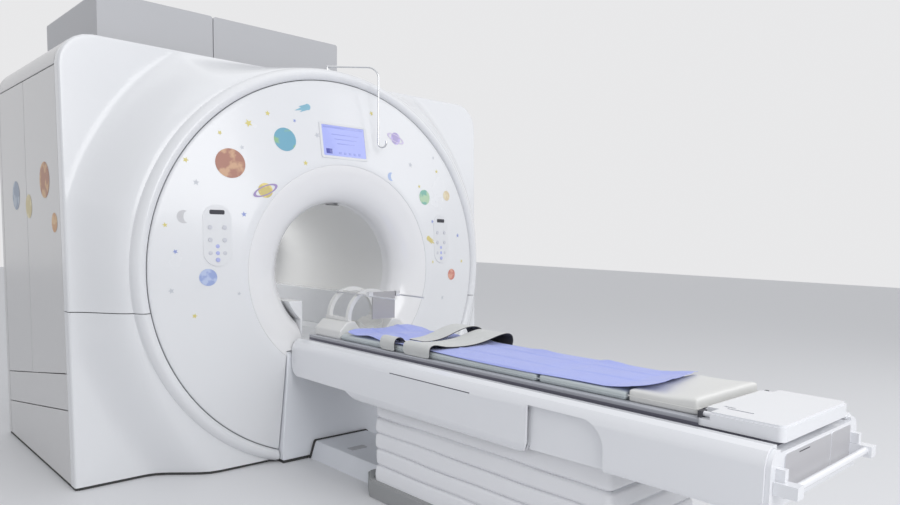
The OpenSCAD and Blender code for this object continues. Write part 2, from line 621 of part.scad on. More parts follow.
module couch_plinth() color(grey) difference() {
    translate([0, plinth_y0, 0]) {
        linear_extrude(plinth_h - 7) plinth_plan(0);
        linear_extrude(plinth_h) plinth_plan(7);
    }
    translate([0, plinth_y0, 12]) linear_extrude(200) plinth_plan(30);
}
module lift_motor() color(dark) {
    y = (column_y[0] + column_y[1]) / 2;
    translate([-70, y - 60, 12.3]) cube([140, 120, 66]);
    translate([0, y + 60, 45]) rotate([-90, 0, 0]) cylinder(h = column_y[0] - outer_w / 2 - y - 60 - slide_gap, r = 12);
    translate([0, column_y[1] + outer_w / 2 + slide_gap, 45]) rotate([-90, 0, 0])
        cylinder(h = y - 60 - column_y[1] - outer_w / 2 - slide_gap, r = 12);
}
// Telescopic columns, two of them, in three stages that share the travel
column_y = [plinth_y0 - 420, plinth_y0 - plinth_l + 300];
stage_l = 222;
frame_low = 520;
module stage(z0, w, t) for (y = column_y) translate([0, y, z0]) difference() {
    linear_extrude(stage_l) round_rect(w, w, 12);
    translate([0, 0, -1]) linear_extrude(stage_l + 2) round_rect(w - 2 * t, w - 2 * t, 6);
}
stage_gap = 0.3;
outer_w = 210;
stage_t = 8;
middle_w = outer_w - 2 * stage_t - 2 * stage_gap;
inner_w = middle_w - 2 * stage_t - 2 * stage_gap;
module lift_outer() color(steel) stage(12.3, outer_w, stage_t);
module lift_middle() color(steel) stage(14 + lift_travel / 2, middle_w, stage_t);
module lift_inner() color(steel) translate([0, 0, 0]) stage(frame_low - stage_l - 0.3, inner_w, stage_t);
bellows_w = plinth_w - 8;
bellows_folds = 5;
bellows_top = 452;
bellows_y0 = plinth_y0 - nose_l - 14;
bellows_l = plinth_l - nose_l - 34;
fold_h = (bellows_top - plinth_h - slide_gap) / bellows_folds;
module bellows() color(white) {
    difference() {
        for (i = [0:bellows_folds - 1]) translate([0, bellows_y0 - bellows_l / 2, plinth_h + slide_gap + i * fold_h]) {
            linear_extrude(fold_h * 0.5 + tiny) round_rect(2 * bellows_w, bellows_l, 20);
            translate([0, 0, fold_h * 0.5]) linear_extrude(fold_h * 0.5) round_rect(2 * bellows_w - 10, bellows_l - 10, 16);
        }
        translate([0, bellows_y0 - bellows_l / 2, 0]) linear_extrude(far) round_rect(2 * bellows_w - 40, bellows_l - 40, 8);
    }
}

/* Couch */

deck_t = 10;
rail_top = cover_top - 3;
rail_seat = table_z - table_edge_t;
// Outriggers reach the side covers' inner face
arm_y = [for (i = [0:3]) head_y - 300 - i * (couch_l - 662) / 3];
pan_z = bellows_top + slide_gap;
module couch_frame() color(grey) {
    low = table_low - slide_gap - deck_t;
    along_y(foot_y + 60, couch_l - 66) trough(deck_t, [[channel_w + deck_t, rail_seat], [channel_w, rail_seat]]);
    for (s = [-1, 1]) translate([s * 150 - 20, foot_y + 120, frame_low]) cube([40, couch_l - 240, low - frame_low + 2]);
    for (y = arm_y) translate([-couch_w + couch_t + slide_gap, y - 20, 540]) cube([2 * (couch_w - couch_t - slide_gap), 40, 30]);
    for (y = column_y) translate([-150, y - 130, frame_low]) cube([300, 260, 20]);
    for (y = [bellows_y0 - 20, bellows_y0 - bellows_l + 20], s = [-1, 1])
        translate([s * 150 - 15, y - 15, pan_z + 2]) cube([30, 30, frame_low - pan_z]);
    translate([0, bellows_y0 - bellows_l / 2, pan_z]) linear_extrude(8) difference() {
        round_rect(2 * bellows_w, bellows_l, 20);
        for (y = column_y) translate([0, y - bellows_y0 + bellows_l / 2]) round_rect(outer_w + 16, outer_w + 16, 12);
    }
}
// Side outline of the couch's covers in Y and Z, measured from the head end
recess_l = 330;
recess_y = couch_l - 522 - recess_l;
module cover_side() polygon(concat([[0, cover_top + 5], [0, cover_top - 87]],
    [for (a = [0:15:90]) [-60 + 60 * cos(a), cover_top - 123 - 60 * sin(a)]],
    [[-480, cover_top - 183], [-545, cover_top - 217], [-recess_y + 45, cover_top - 217], [-recess_y + 14, cover_top - 207],
     [-recess_y, cover_top - 176], [-recess_y - 1, cover_top - 201],
     [-recess_y - recess_l, cover_top - 195], [-couch_l + 50, cover_top - 191]],
    [for (a = [90:-15:0]) [-couch_l + 50 - 50 * cos(a), cover_top - 141 - 50 * sin(a)]],
    [[-couch_l, cover_top + 5]]));
// Inner edge of the covers' flat top
lip_x = channel_w + 18;
// Cross section of a side cover in X and Z, at a depth under its skin
function cover_skin(t) = [[-lip_x - t, cover_top - t], [-couch_w + 43 + t * 0.3, cover_top + 2 - t],
    [-couch_w + 20 + t * 0.6, cover_top - 9 - t], [-couch_w + 7 + t * 0.9, cover_top - 27 - t * 0.6],
    [-couch_w + t, cover_top - 51], [-couch_w + t, cover_top - 179], [-couch_w + 7 + t, cover_top - 205],
    [-couch_w + 25 + t, cover_top - 227]];
module cover_section() polygon(concat([[-lip_x, cover_top - 14], [-lip_x, cover_top]], [for (i = [1:7]) cover_skin(0)[i]],
    [for (i = [7:-1:0]) cover_skin(couch_t)[i]], [[-lip_x - couch_t, cover_top - 14]]));
// The hand recess near the foot end, seen from the side
recess_r = 90;
recess_top = cover_top - 39;
module recess_shape() intersection() {
    translate([-recess_y - recess_l, 300]) square([recess_l, recess_top - 300]);
    union() {
        translate([-recess_y - recess_l + recess_r, 300]) square([recess_l, recess_top - 300]);
        translate([-recess_y - recess_l + recess_r, recess_top - recess_r]) circle(recess_r);
        translate([-recess_y - recess_l, 300]) square([recess_r + 1, recess_top - recess_r - 300]);
    }
}
// A long fine groove along each side cover
groove_y = 818;
groove_l = 500;
groove_z = cover_top - 48;
module couch_side_covers() color(white) both_sides() {
    difference() {
        intersection() {
            along_y(foot_y, couch_l) cover_section();
            translate([0, head_y, 0]) along_x(-400, 400) cover_side();
        }
        translate([0, head_y, 0]) along_x(-400, 110) recess_shape();
        translate([-couch_w - 1, head_y - groove_y - groove_l, groove_z - 2]) cube([3.5, groove_l, 4]);
    }
    intersection() {
        translate([-couch_w + 22, head_y - recess_y - recess_l - 14, cover_top - 217]) cube([couch_t, recess_l + 28, recess_top - cover_top + 234]);
        translate([0, head_y, 0]) along_x(-400, 400) cover_side();
    }
}
end_t = 34;
// Clear inside of the couch between its side covers, in X and Z
module couch_inside(low) {
    skin = cover_skin(couch_t + slide_gap);
    left = concat([[-lip_x - couch_t - slide_gap, rail_seat + slide_gap]], [for (i = [0:4]) skin[i]],
        [[-couch_w + couch_t + slide_gap, low]]);
    polygon(concat(left, mirror_x(left)));
}
panel_low = cover_top - 154;
panel_hi = 127;
module couch_end_covers() color(white) {
    difference() {
        translate([0, head_y - 18, 0]) along_y(0, 10) couch_inside(cover_top - 137);
        translate([0, head_y - 18, 0]) along_y(-1, 12) polygon(concat([[channel_w + deck_t + 1, 700]],
            [for (p = channel_half(deck_t + 1)) p], mirror_x(channel_half(deck_t + 1)), [[-channel_w - deck_t - 1, 700]]));
    }
    difference() {
        translate([0, foot_y - 14, 0]) along_y(0, end_t) couch_inside(panel_low - 19);
        translate([0, foot_y - 6, 0]) along_y(0, end_t) translate([-300, panel_low - 11]) square([600, panel_hi + 10]);
    }
    translate([0, foot_y - 17, 0]) along_y(0, 3.5) {
        translate([-72, panel_low + panel_hi / 2]) round_rect(330, panel_hi, 10);
        translate([177, panel_low + panel_hi / 2]) round_rect(158, panel_hi, 10);
    }
    both_sides() translate([couch_w - 62, foot_y - 40, panel_low + 64]) cube([22, 26.5, 34]);
}
rail_start = 185;
rail_l = couch_l - rail_start - 267;
module guide_rails() color(grey) both_sides() translate([0, head_y - rail_start - rail_l, 0]) along_y(0, rail_l)
    polygon([[-channel_w - 16, rail_top], [-channel_w, rail_top], [-channel_w, rail_seat + slide_gap],
        [-channel_w - 16, rail_seat + slide_gap]]);
handle_z = 553;
handle_y = foot_y - 61;
module push_handle() color(white) {
    translate([-300, handle_y, handle_z]) rotate([0, 90, 0]) cylinder(h = 600, r = 11);
    for (s = [-1, 1]) difference() {
        translate([s * 284 - 20, handle_y - 20, handle_z - 22])
            cube([40, foot_y - 14 - slide_gap - handle_y + 20, panel_low + 64 - slide_gap - handle_z + 22]);
        translate([s * 284 - 21, handle_y + 1, handle_z + 18]) rotate([45, 0, 0]) cube([42, 60, 30]);
    }
}
module table_drive() color(dark) {
    y = head_y - 600;
    low = table_low - slide_gap - deck_t - slide_gap;
    translate([-60, y - 120, low - 60]) cube([120, 240, 60]);
    translate([60 - tiny, y, low - 32]) rotate([0, 90, 0]) cylinder(h = 66, r = 26);
}

/* What rides on the tabletop */

table_y = head_y - 6;
table_l = couch_l - 62;
module tabletop() color(grey) along_y(table_y - table_l, table_l) polygon([[-table_w, table_z], [table_w, table_z],
    [table_w, table_z - table_edge_t], [table_w - bevel_in, table_low], [-table_w + bevel_in, table_low],
    [-table_w, table_z - table_edge_t]]);
// A pad with rounded long edges
module pad_section(w, t, r) {
    translate([-w, 0]) square([2 * w, t - r]);
    translate([-w + r, 0]) square([2 * (w - r), t]);
    for (s = [-1, 1]) translate([s * (w - r), t - r]) circle(r);
}
// Ends of the pads along Y
pad_head = head_y - 255;
pad_split = foot_y + 912;
pad_foot = foot_y + 522;
foot_end = foot_y + 267;
module body_pads() color(foam) {
    translate([0, 0, table_z]) along_y(pad_split + 1, pad_head - pad_split - 1) pad_section(pad_w, pad_t, 14);
    translate([0, 0, table_z]) along_y(pad_foot + 1, pad_split - pad_foot - 2) pad_section(pad_w, pad_t, 14);
}
foot_rise = 12;
module foot_pad() color(white) translate([0, 0, table_z]) along_y(foot_end, pad_foot - foot_end)
    pad_section(pad_w + 4, pad_t + foot_rise, 18);
module draw_sheet() color(cloth_blue) {
    t = 2;
    sheet_head = pad_head - 75;
    translate([0, 0, table_z + pad_t]) along_y(pad_foot + 2, sheet_head - pad_foot - 2) polygon([[-pad_w + 16, 0.3],
        [pad_w - 16, 0.3], [pad_w - 16, 0.3 + t], [-pad_w + 16, 0.3 + t]]);
    translate([0, 0, table_z + pad_t + foot_rise]) along_y(pad_foot - 130, 130) polygon([[-pad_w + 20, 0.3],
        [pad_w - 10, 0.3], [pad_w - 10, 0.3 + t], [-pad_w + 20, 0.3 + t]]);
}
module body_straps() color(foam) translate([0, 0, table_z]) {
    along_y(pad_head - 745, 190) polygon([[-pad_w - 8, 6], [-pad_w - 3, 6], [-pad_w - 3, pad_t - 8], [-pad_w + 12, pad_t + 3],
        [-40, pad_t + 3], [-40, pad_t + 7], [-pad_w + 10, pad_t + 8], [-pad_w - 8, pad_t - 6]]);
    along_y(pad_head - 985, 170) polygon([[-150, pad_t + 3], [-120, pad_t + 3], [60, pad_t + 18], [200, pad_t + 3],
        [214, pad_t + 3], [202, pad_t + 9], [60, pad_t + 24], [-118, pad_t + 8], [-150, pad_t + 8]]);
}
end_unit_w = 241;
end_unit_l = 264;
end_unit_h = 30;
// Corner notches of the end unit, where its plugs go into the tabletop's sockets
notch_w = 56;
notch_l = 44;
socket_l = 12;
module end_unit() color(white) {
    y1 = foot_end - 14;
    y = y1 - end_unit_l / 2;
    skirt = table_z - cover_top - 1.5;
    notch_z = table_z + 4;
    difference() {
        union() {
            translate([0, y, table_z - skirt]) linear_extrude(end_unit_h + skirt - 6) round_rect(2 * end_unit_w, end_unit_l, 20);
            translate([0, y, table_z + end_unit_h - 10]) linear_extrude(10) round_rect(2 * end_unit_w - 12, end_unit_l - 12, 16);
        }
        translate([-table_w - slide_gap, table_y - table_l - slide_gap, table_z - skirt - 1])
            cube([2 * (table_w + slide_gap), table_l, skirt + 1]);
        for (s = [-1, 1]) translate([s * (end_unit_w - notch_w / 2 + 10) - notch_w / 2 - 10, y1 - notch_l, notch_z])
            cube([notch_w + 20, notch_l + 10, 60]);
        translate([-166, y1 - 140, table_z + end_unit_h - 2]) cube([9, 84, 3]);
        translate([-146, y1 - 74, table_z + end_unit_h - 2]) cube([9, 38, 3]);
    }
    for (s = [-1, 1]) translate([s * (end_unit_w - notch_w / 2), 0, 0]) {
        translate([-20, y1 - socket_l, notch_z - 1]) cube([36, socket_l, 21]);
        translate([-2, y1 - notch_l - 1, notch_z + 11]) rotate([-90, 0, 0]) cylinder(h = notch_l - socket_l + 2, r = 8);
    }
    for (x = [-150, -60, 60, 150]) translate([x - 28, foot_end - 16, table_z + 3]) cube([56, 15, 18]);
}
coil_w = 205;
coil_y = front_y - 110;
module coil_base() color(white) translate([0, coil_y - 230, table_z]) along_y(0, 230) difference() {
    polygon([[-coil_w, 0], [coil_w, 0], [coil_w, 40], [coil_w - 40, 80], [140, 84], [-140, 84], [-coil_w + 40, 80], [-coil_w, 40]]);
    translate([0, 140]) circle(126);
}
ring_r = 146;
module coil_frame() color(white) translate([0, 0, ring_z]) {
    for (y = [coil_y - 30, coil_y - 200]) along_y(y - 12, 24) difference() {
        circle(ring_r);
        circle(ring_r - 20);
        translate([-200, -400]) square([400, 386]);
    }
    both_sides() translate([-ring_r, coil_y - 212, -13.7]) cube([20, 206, 16]);
    for (a = [65, 115]) translate([(ring_r - 10) * cos(a) - 8, coil_y - 200, (ring_r - 10) * sin(a) - 8]) cube([16, 170, 14]);
}
ring_z = table_z + 98;
rod_x = 90;
rod_r = 4;
rod_z = ring_z + sqrt(pow(ring_r + rod_r + slide_gap, 2) - rod_x * rod_x);
mirror_y = coil_y - 309;
pivot_up = 10;
pin_r = 3;
module mirror_rods() color(steel) for (s = [-1, 1]) difference() {
    union() {
        translate([s * rod_x, coil_y - 520, rod_z]) rotate([-90, 0, 0]) cylinder(h = 505, r = rod_r);
        translate([s * (rod_x - 6) - 12, mirror_y - 11, rod_z - 6]) cube([24, 22, 26]);
    }
    translate([s * (rod_x - 6), mirror_y, rod_z + pivot_up]) rotate([0, 90, 0]) rotate([0, 0, 90])
        translate([0, 0, s * -7 - 7]) cylinder(h = 14, r = pin_r + 0.3);
}
mirror_w = 69;
module head_mirror() color(grey) translate([0, mirror_y, rod_z]) {
    translate([-mirror_w, -3.5, -118]) cube([2 * mirror_w, 7, 136]);
    translate([-rod_x + 8, 0, pivot_up]) rotate([0, 90, 0]) cylinder(h = 2 * rod_x - 16, r = pin_r);
}

floor_frame();
magnet_vessel();
gradient_coil();
body_coil();
bore_liner();
bore_bed();
service_turret();
cold_head();
support_frame();
front_disc();
front_funnel();
front_cover_upper();
front_cover_lower();
side_panels();
side_skirts();
roof_cover();
turret_covers();
rear_cover();
rear_funnel();
floor_gasket();
fascia_panels();
display_screen();
dark_windows();
hook_socket();
hook_arm();
button_l1();
button_l2();
button_l3();
button_l4();
button_l5();
button_r1();
button_r2();
button_r3();
button_r4();
button_r5();
dock_column();
floor_channel();
couch_plinth();
lift_motor();
lift_outer();
lift_middle();
lift_inner();
bellows();
couch_frame();
couch_side_covers();
couch_end_covers();
guide_rails();
push_handle();
table_drive();
tabletop();
body_pads();
foot_pad();
draw_sheet();
body_straps();
end_unit();
coil_base();
coil_frame();
mirror_rods();
head_mirror();
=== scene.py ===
"""Dresses the scanner and its couch: covers, bore, bellows, pads, sheet, straps, head coil and finishes."""

import json
import logging
import math
import random
from contextlib import contextmanager
from dataclasses import dataclass
from enum import Enum
from typing import Callable, Iterator, Sequence, Union

import bmesh
import bpy
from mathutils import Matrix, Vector

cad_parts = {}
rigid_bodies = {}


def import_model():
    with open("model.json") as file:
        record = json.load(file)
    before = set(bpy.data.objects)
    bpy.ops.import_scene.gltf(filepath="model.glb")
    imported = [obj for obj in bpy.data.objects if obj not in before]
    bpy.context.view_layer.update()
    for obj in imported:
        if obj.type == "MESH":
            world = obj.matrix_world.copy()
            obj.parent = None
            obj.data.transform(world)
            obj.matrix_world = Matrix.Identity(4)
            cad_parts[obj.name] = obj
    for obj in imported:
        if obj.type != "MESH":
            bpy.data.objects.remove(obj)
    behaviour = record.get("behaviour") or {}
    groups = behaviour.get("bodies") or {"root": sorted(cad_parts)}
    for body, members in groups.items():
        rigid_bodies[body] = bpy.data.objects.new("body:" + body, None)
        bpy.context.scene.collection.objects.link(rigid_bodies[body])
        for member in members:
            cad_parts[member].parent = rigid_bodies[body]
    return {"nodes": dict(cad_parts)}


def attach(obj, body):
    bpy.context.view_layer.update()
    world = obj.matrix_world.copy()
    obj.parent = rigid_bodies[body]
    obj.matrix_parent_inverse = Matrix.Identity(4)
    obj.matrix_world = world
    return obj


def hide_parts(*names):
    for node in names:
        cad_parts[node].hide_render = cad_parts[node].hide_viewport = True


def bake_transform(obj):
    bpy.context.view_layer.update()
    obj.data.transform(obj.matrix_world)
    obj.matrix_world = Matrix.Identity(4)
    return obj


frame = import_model()

log = logging.getLogger("scanner")
Colour = tuple[float, float, float]
Point = tuple[float, float, float]
Line = Sequence[tuple[float, float]]
Piece = bpy.types.Object
Socket = bpy.types.NodeSocket
Test = Callable[[Vector, Vector], bool]
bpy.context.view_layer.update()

FRONT = -0.745
AXIS = 1.0
CONE_DEPTH = 0.082
DISC_R = 0.996
FUNNEL_R = 0.557
BORE_R = 0.355
HEAD = FRONT - CONE_DEPTH - 0.008
FOOT = HEAD - 2.462
TABLE = 0.675
COVER_TOP = TABLE - 0.018
TAU = 2.0 * math.pi
DOWN = -math.pi / 2
ACROSS, ALONG, UP = (1, 0, 0), (0, 1, 0), (0, 0, 1)


class Pick(Enum):
    """What an edit-mode choice takes."""

    EDGE = "EDGE"
    FACE = "FACE"


# Tools of the modeller


def deselect() -> None:
    """Leaves nothing selected or active."""
    for obj in bpy.context.view_layer.objects:
        obj.select_set(False)
    bpy.context.view_layer.objects.active = None


def only(obj: Piece) -> None:
    """Selects one object alone."""
    deselect()
    obj.select_set(True)
    bpy.context.view_layer.objects.active = obj


@contextmanager
def editing(obj: Piece) -> Iterator[None]:
    """Opens an object in edit mode with all of it selected, and closes it again."""
    only(obj)
    bpy.ops.object.mode_set(mode="EDIT")
    bpy.ops.mesh.select_mode(type="VERT")
    bpy.ops.mesh.select_all(action="SELECT")
    try:
        yield
    finally:
        bpy.ops.object.mode_set(mode="OBJECT")


def pick(obj: Piece, kind: Pick, test: Test) -> None:
    """Selects, in edit mode, the edges or faces that pass a test.

    Args:
        obj: The mesh in edit mode.
        kind: Edges or faces.
        test: Takes the middle, and the face's normal or the edge's way.
    """
    bpy.ops.mesh.select_mode(type=kind.value)
    bpy.ops.mesh.select_all(action="DESELECT")
    shape = bmesh.from_edit_mesh(obj.data)
    shape.normal_update()
    if kind is Pick.FACE:
        found = [face for face in shape.faces if test(face.calc_center_median(), face.normal)]
    else:
        ends = [(edge, edge.verts[0].co, edge.verts[1].co) for edge in shape.edges]
        found = [edge for edge, a, b in ends if test((a + b) / 2, b - a)]
    for item in found:
        item.select_set(True)
    bmesh.update_edit_mesh(obj.data)


def named(obj: Piece, name: str) -> Piece:
    """Names an object and its mesh, and hands it back."""
    obj.name = name
    obj.data.name = name
    return obj


def linked(name: str, data: bpy.types.ID) -> Piece:
    """Puts a mesh, a lamp or a camera into the scene.

    Args:
        name: The object's name.
        data: What it shows.

    Returns:
        The object.
    """
    obj = bpy.data.objects.new(name, data)
    bpy.context.scene.collection.objects.link(obj)
    return obj


def settle(obj: Piece) -> None:
    """Moves an object's place, turn and scale into its mesh."""
    only(obj)
    bpy.ops.object.transform_apply(location=True, rotation=True, scale=True)


def modify(obj: Piece, kind: str, **values: object) -> None:
    """Adds a modifier and applies it.

    Args:
        obj: The object.
        kind: The modifier's type.
        values: Its settings.
    """
    only(obj)
    bpy.ops.object.modifier_add(type=kind)
    modifier = obj.modifiers[-1]
    for key, value in values.items():
        setattr(modifier, key, value)
    bpy.ops.object.modifier_apply(modifier=modifier.name)


def round_edges(obj: Piece, width: float, segments: int, degrees: float) -> None:
    """Rounds the edges of a piece that are sharper than an angle.

    Args:
        obj: The piece.
        width: Width of the rounding.
        segments: Its steps.
        degrees: The angle.
    """
    modify(obj, "BEVEL", width=width, segments=segments, limit_method="ANGLE",
           angle_limit=math.radians(degrees), use_clamp_overlap=True)


def smooth(obj: Piece, degrees: float = 35.0) -> None:
    """Shades an object smooth, apart from its sharp edges."""
    only(obj)
    bpy.ops.object.shade_smooth_by_angle(angle=math.radians(degrees))


def tidy(obj: Piece, gap: float = 0.00005) -> None:
    """Merges doubled points and turns all faces outwards."""
    with editing(obj):
        bpy.ops.mesh.remove_doubles(threshold=gap)
        bpy.ops.mesh.normals_make_consistent(inside=False)


def face_along(obj: Piece, way: Point) -> None:
    """Turns an open piece's faces so that most of them look along a way."""
    if sum(face.normal.dot(Vector(way)) for face in obj.data.polygons) < 0:
        with editing(obj):
            bpy.ops.mesh.flip_normals()


def outline(name: str, points: Sequence[Point], closed: bool = False) -> Piece:
    """Makes a line of points, the start of a spun or pulled shape.

    Args:
        name: The object's name.
        points: The points in order.
        closed: Whether the last joins the first.

    Returns:
        The object.
    """
    mesh = bpy.data.meshes.new(name)
    count = len(points)
    edges = [(i, (i + 1) % count) for i in range(count if closed else count - 1)]
    mesh.from_pydata([Vector(p) for p in points], edges, [])
    return linked(name, mesh)


def filled(name: str, points: Sequence[Point]) -> Piece:
    """Fills a flat outline with one face.

    Args:
        name: The object's name.
        points: The outline.

    Returns:
        The flat piece.
    """
    obj = outline(name, points, True)
    with editing(obj):
        bpy.ops.mesh.edge_face_add()
    return obj


def lathe(name: str, profile: Line, steps: int) -> Piece:
    """Spins a closed section about the bore's axis.

    Args:
        name: The object's name.
        profile: Radius and place along Y, in metres.
        steps: Steps of the turn.

    Returns:
        The spun object.
    """
    obj = outline(name, [(r, y, AXIS) for r, y in profile], True)
    with editing(obj):
        bpy.ops.mesh.spin(steps=steps, angle=TAU, center=(0, 0, AXIS), axis=ALONG)
    tidy(obj)
    return obj


def pulled(name: str, points: Sequence[Point], way: Point) -> Piece:
    """Fills a flat outline and pulls it into a solid.

    Args:
        name: The object's name.
        points: The outline.
        way: How far it is pulled.

    Returns:
        The solid.
    """
    obj = filled(name, points)
    with editing(obj):
        bpy.ops.mesh.extrude_region_move(TRANSFORM_OT_translate={"value": way})
        bpy.ops.mesh.select_all(action="SELECT")
        bpy.ops.mesh.normals_make_consistent(inside=False)
    return obj


def block(name: str, low: Point, high: Point, round_by: float = 0.0) -> Piece:
    """Makes a box with rounded edges.

    Args:
        name: The object's name.
        low: Its lowest corner.
        high: Its highest corner.
        round_by: Radius of its edges.

    Returns:
        The box.
    """
    deselect()
    bpy.ops.mesh.primitive_cube_add(size=1.0, location=[(a + b) / 2 for a, b in zip(low, high)])
    obj = named(bpy.context.object, name)
    obj.scale = [b - a for a, b in zip(low, high)]
    settle(obj)
    if round_by:
        modify(obj, "BEVEL", width=round_by, segments=2, limit_method="NONE")
        smooth(obj)
    return obj


def joined(name: str, parts: Sequence[Piece]) -> Piece:
    """Joins objects into one.

    Args:
        name: The new object's name.
        parts: The objects.

    Returns:
        The joined object.
    """
    deselect()
    for part in parts:
        part.select_set(True)
    bpy.context.view_layer.objects.active = parts[0]
    bpy.ops.object.join()
    return named(bpy.context.object, name)


def cut_box(obj: Piece, low: Point, high: Point) -> None:
    """Cuts a box, given by two corners, out of a piece."""
    tool = block("cut_box", low, high)
    modify(obj, "BOOLEAN", object=tool, operation="DIFFERENCE", solver="EXACT")
    bpy.data.objects.remove(tool)


def slice_at(obj: Piece, place: Point, normal: Point, **clear: bool) -> None:
    """Adds a ring of edges where a plane meets a mesh.

    Args:
        obj: The mesh.
        place: A point of the plane.
        normal: Its normal.
        clear: clear_inner or clear_outer, where a side of the mesh goes.
    """
    with editing(obj):
        bpy.ops.mesh.bisect(plane_co=place, plane_no=normal, **clear)


def reshape(obj: Piece, rule: Callable[[Vector], Vector]) -> None:
    """Moves every point of a mesh by a rule."""
    for point in obj.data.vertices:
        point.co = rule(point.co.copy())
    obj.data.update()


def clamp(value: float, low: float, high: float) -> float:
    """Keeps a value between two others."""
    return max(low, min(high, value))


def cone_y(r: float) -> float:
    """Gives the place along Y of the disc's cone at a radius."""
    return FRONT - CONE_DEPTH * (DISC_R - r) / (DISC_R - FUNNEL_R)


def run_cloth(obj: Piece, frames: int, gap: float, gravity: float, **settings: object) -> None:
    """Runs a piece as cloth and keeps the shape it ends in.

    Args:
        obj: The piece.
        frames: How many frames it runs.
        gap: How near it may come to what it falls on.
        gravity: Share of gravity that pulls it.
        settings: The cloth's settings.
    """
    only(obj)
    bpy.ops.object.modifier_add(type="CLOTH")
    cloth = obj.modifiers[-1]
    for key, value in settings.items():
        setattr(cloth.settings, key, value)
    cloth.settings.effector_weights.gravity = gravity
    cloth.collision_settings.distance_min = gap
    cloth.point_cache.frame_start = 1
    cloth.point_cache.frame_end = frames
    for step in range(1, frames + 1):
        bpy.context.scene.frame_set(step)
    only(obj)
    bpy.ops.object.modifier_apply(modifier=cloth.name)
    bpy.context.scene.frame_set(1)


# Finishes


class Web:
    """The nodes of a material or a world, and the wires between them."""

    def __init__(self, owner: Union[bpy.types.Material, bpy.types.World]) -> None:
        """Opens the owner's nodes."""
        owner.use_nodes = True
        self.nodes, self.links = owner.node_tree.nodes, owner.node_tree.links

    def fill(self, node: bpy.types.Node, inputs: dict[Union[str, int], object]) -> bpy.types.Node:
        """Sets or wires a node's inputs.

        Args:
            node: The node.
            inputs: For each input its value, or the socket that feeds it.

        Returns:
            The node.
        """
        for key, value in inputs.items():
            if isinstance(value, Socket):
                self.links.new(value, node.inputs[key])
            else:
                node.inputs[key].default_value = value
        return node

    def add(self, kind: str, inputs: dict[Union[str, int], object], **traits: object) -> bpy.types.Node:
        """Adds a node.

        Args:
            kind: Its type, less the first words that all types share.
            inputs: What its inputs hold.
            traits: Its own settings.

        Returns:
            The node.
        """
        node = self.nodes.new("ShaderNode" + kind)
        for key, value in traits.items():
            setattr(node, key, value)
        return self.fill(node, inputs)


@dataclass(frozen=True)
class Finish:
    """A surface with fine grain, drifting tone and uneven gloss."""

    name: str
    colour: Colour
    roughness: float = 0.35
    metal: float = 0.0
    drift: float = 0.03
    drift_size: float = 3.0
    grain_size: float = 900.0
    grain_depth: float = 0.00002
    coat: float = 0.0
    sheen: float = 0.0
    emit: float = 0.0
    uneven: float = 0.06
    bite: float = 0.5

    def make(self) -> bpy.types.Material:
        """Builds the material once and keeps it."""
        return bpy.data.materials.get(self.name) or self._build()

    def _build(self) -> bpy.types.Material:
        """Builds the nodes and hands the material back."""
        material = bpy.data.materials.new(self.name)
        web = Web(material)
        where = web.add("TexCoord", {}).outputs["Object"]
        slow = web.add("TexNoise", {"Scale": self.drift_size, "Detail": 4.0, "Vector": where}).outputs["Fac"]
        low, high = [(*[clamp(c * (1 + way * self.drift), 0.0, 1.0) for c in self.colour], 1.0)
                     for way in (-1, 1)]
        tone = web.add("Mix", {0: slow, 6: low, 7: high}, data_type="RGBA").outputs[2]
        gloss = web.add("MapRange", {"To Min": max(0.02, self.roughness - self.uneven), "Value": slow,
                                     "To Max": min(1.0, self.roughness + self.uneven)})
        bump = web.add("Bump", {"Strength": self.bite, "Distance": self.grain_depth,
                                "Height": self._relief(web, where)})
        shader = web.fill(web.nodes["Principled BSDF"], {
            "Metallic": self.metal, "Coat Weight": self.coat, "Coat Roughness": 0.12,
            "Sheen Weight": self.sheen, "Base Color": self._pattern(web, where, tone),
            "Roughness": gloss.outputs["Result"], "Normal": bump.outputs["Normal"]})
        if self.emit:
            web.fill(shader, {"Emission Color": (*self.colour, 1.0), "Emission Strength": self.emit})
        return material

    def _pattern(self, web: Web, where: Socket, tone: Socket) -> Socket:
        """Leaves the tone as it is; other finishes lay a pattern over it."""
        return tone

    def _relief(self, web: Web, where: Socket) -> Socket:
        """Gives the fine grain's height."""
        return web.add("TexNoise", {"Scale": self.grain_size, "Detail": 2.0, "Vector": where}).outputs["Fac"]


@dataclass(frozen=True)
class Woven(Finish):
    """Cloth or webbing with crossing threads."""

    bite: float = 0.6
    thread: float = 0.0012

    def _relief(self, web: Web, where: Socket) -> Socket:
        """Gives the height of two sets of threads.

        Args:
            web: The material's nodes.
            where: Its coordinates.

        Returns:
            The height.
        """
        sets = [web.add("TexWave", {"Scale": 0.314 / self.thread, "Distortion": 0.6, "Vector": where},
                        bands_direction=way).outputs["Fac"] for way in "XY"]
        return web.add("Math", dict(enumerate(sets)), operation="ADD").outputs["Value"]


@dataclass(frozen=True)
class Brushed(Finish):
    """Metal with fine lines drawn along one way."""

    bite: float = 0.35
    stretch: Point = (4.0, 400.0, 400.0)

    def _relief(self, web: Web, where: Socket) -> Socket:
        """Gives the height of the drawn lines.

        Args:
            web: The material's nodes.
            where: Its coordinates.

        Returns:
            The height.
        """
        lay = web.add("Mapping", {"Scale": self.stretch, "Vector": where})
        lines = web.add("TexNoise", {"Scale": 3.0, "Detail": 3.0, "Vector": lay.outputs["Vector"]})
        return lines.outputs["Fac"]


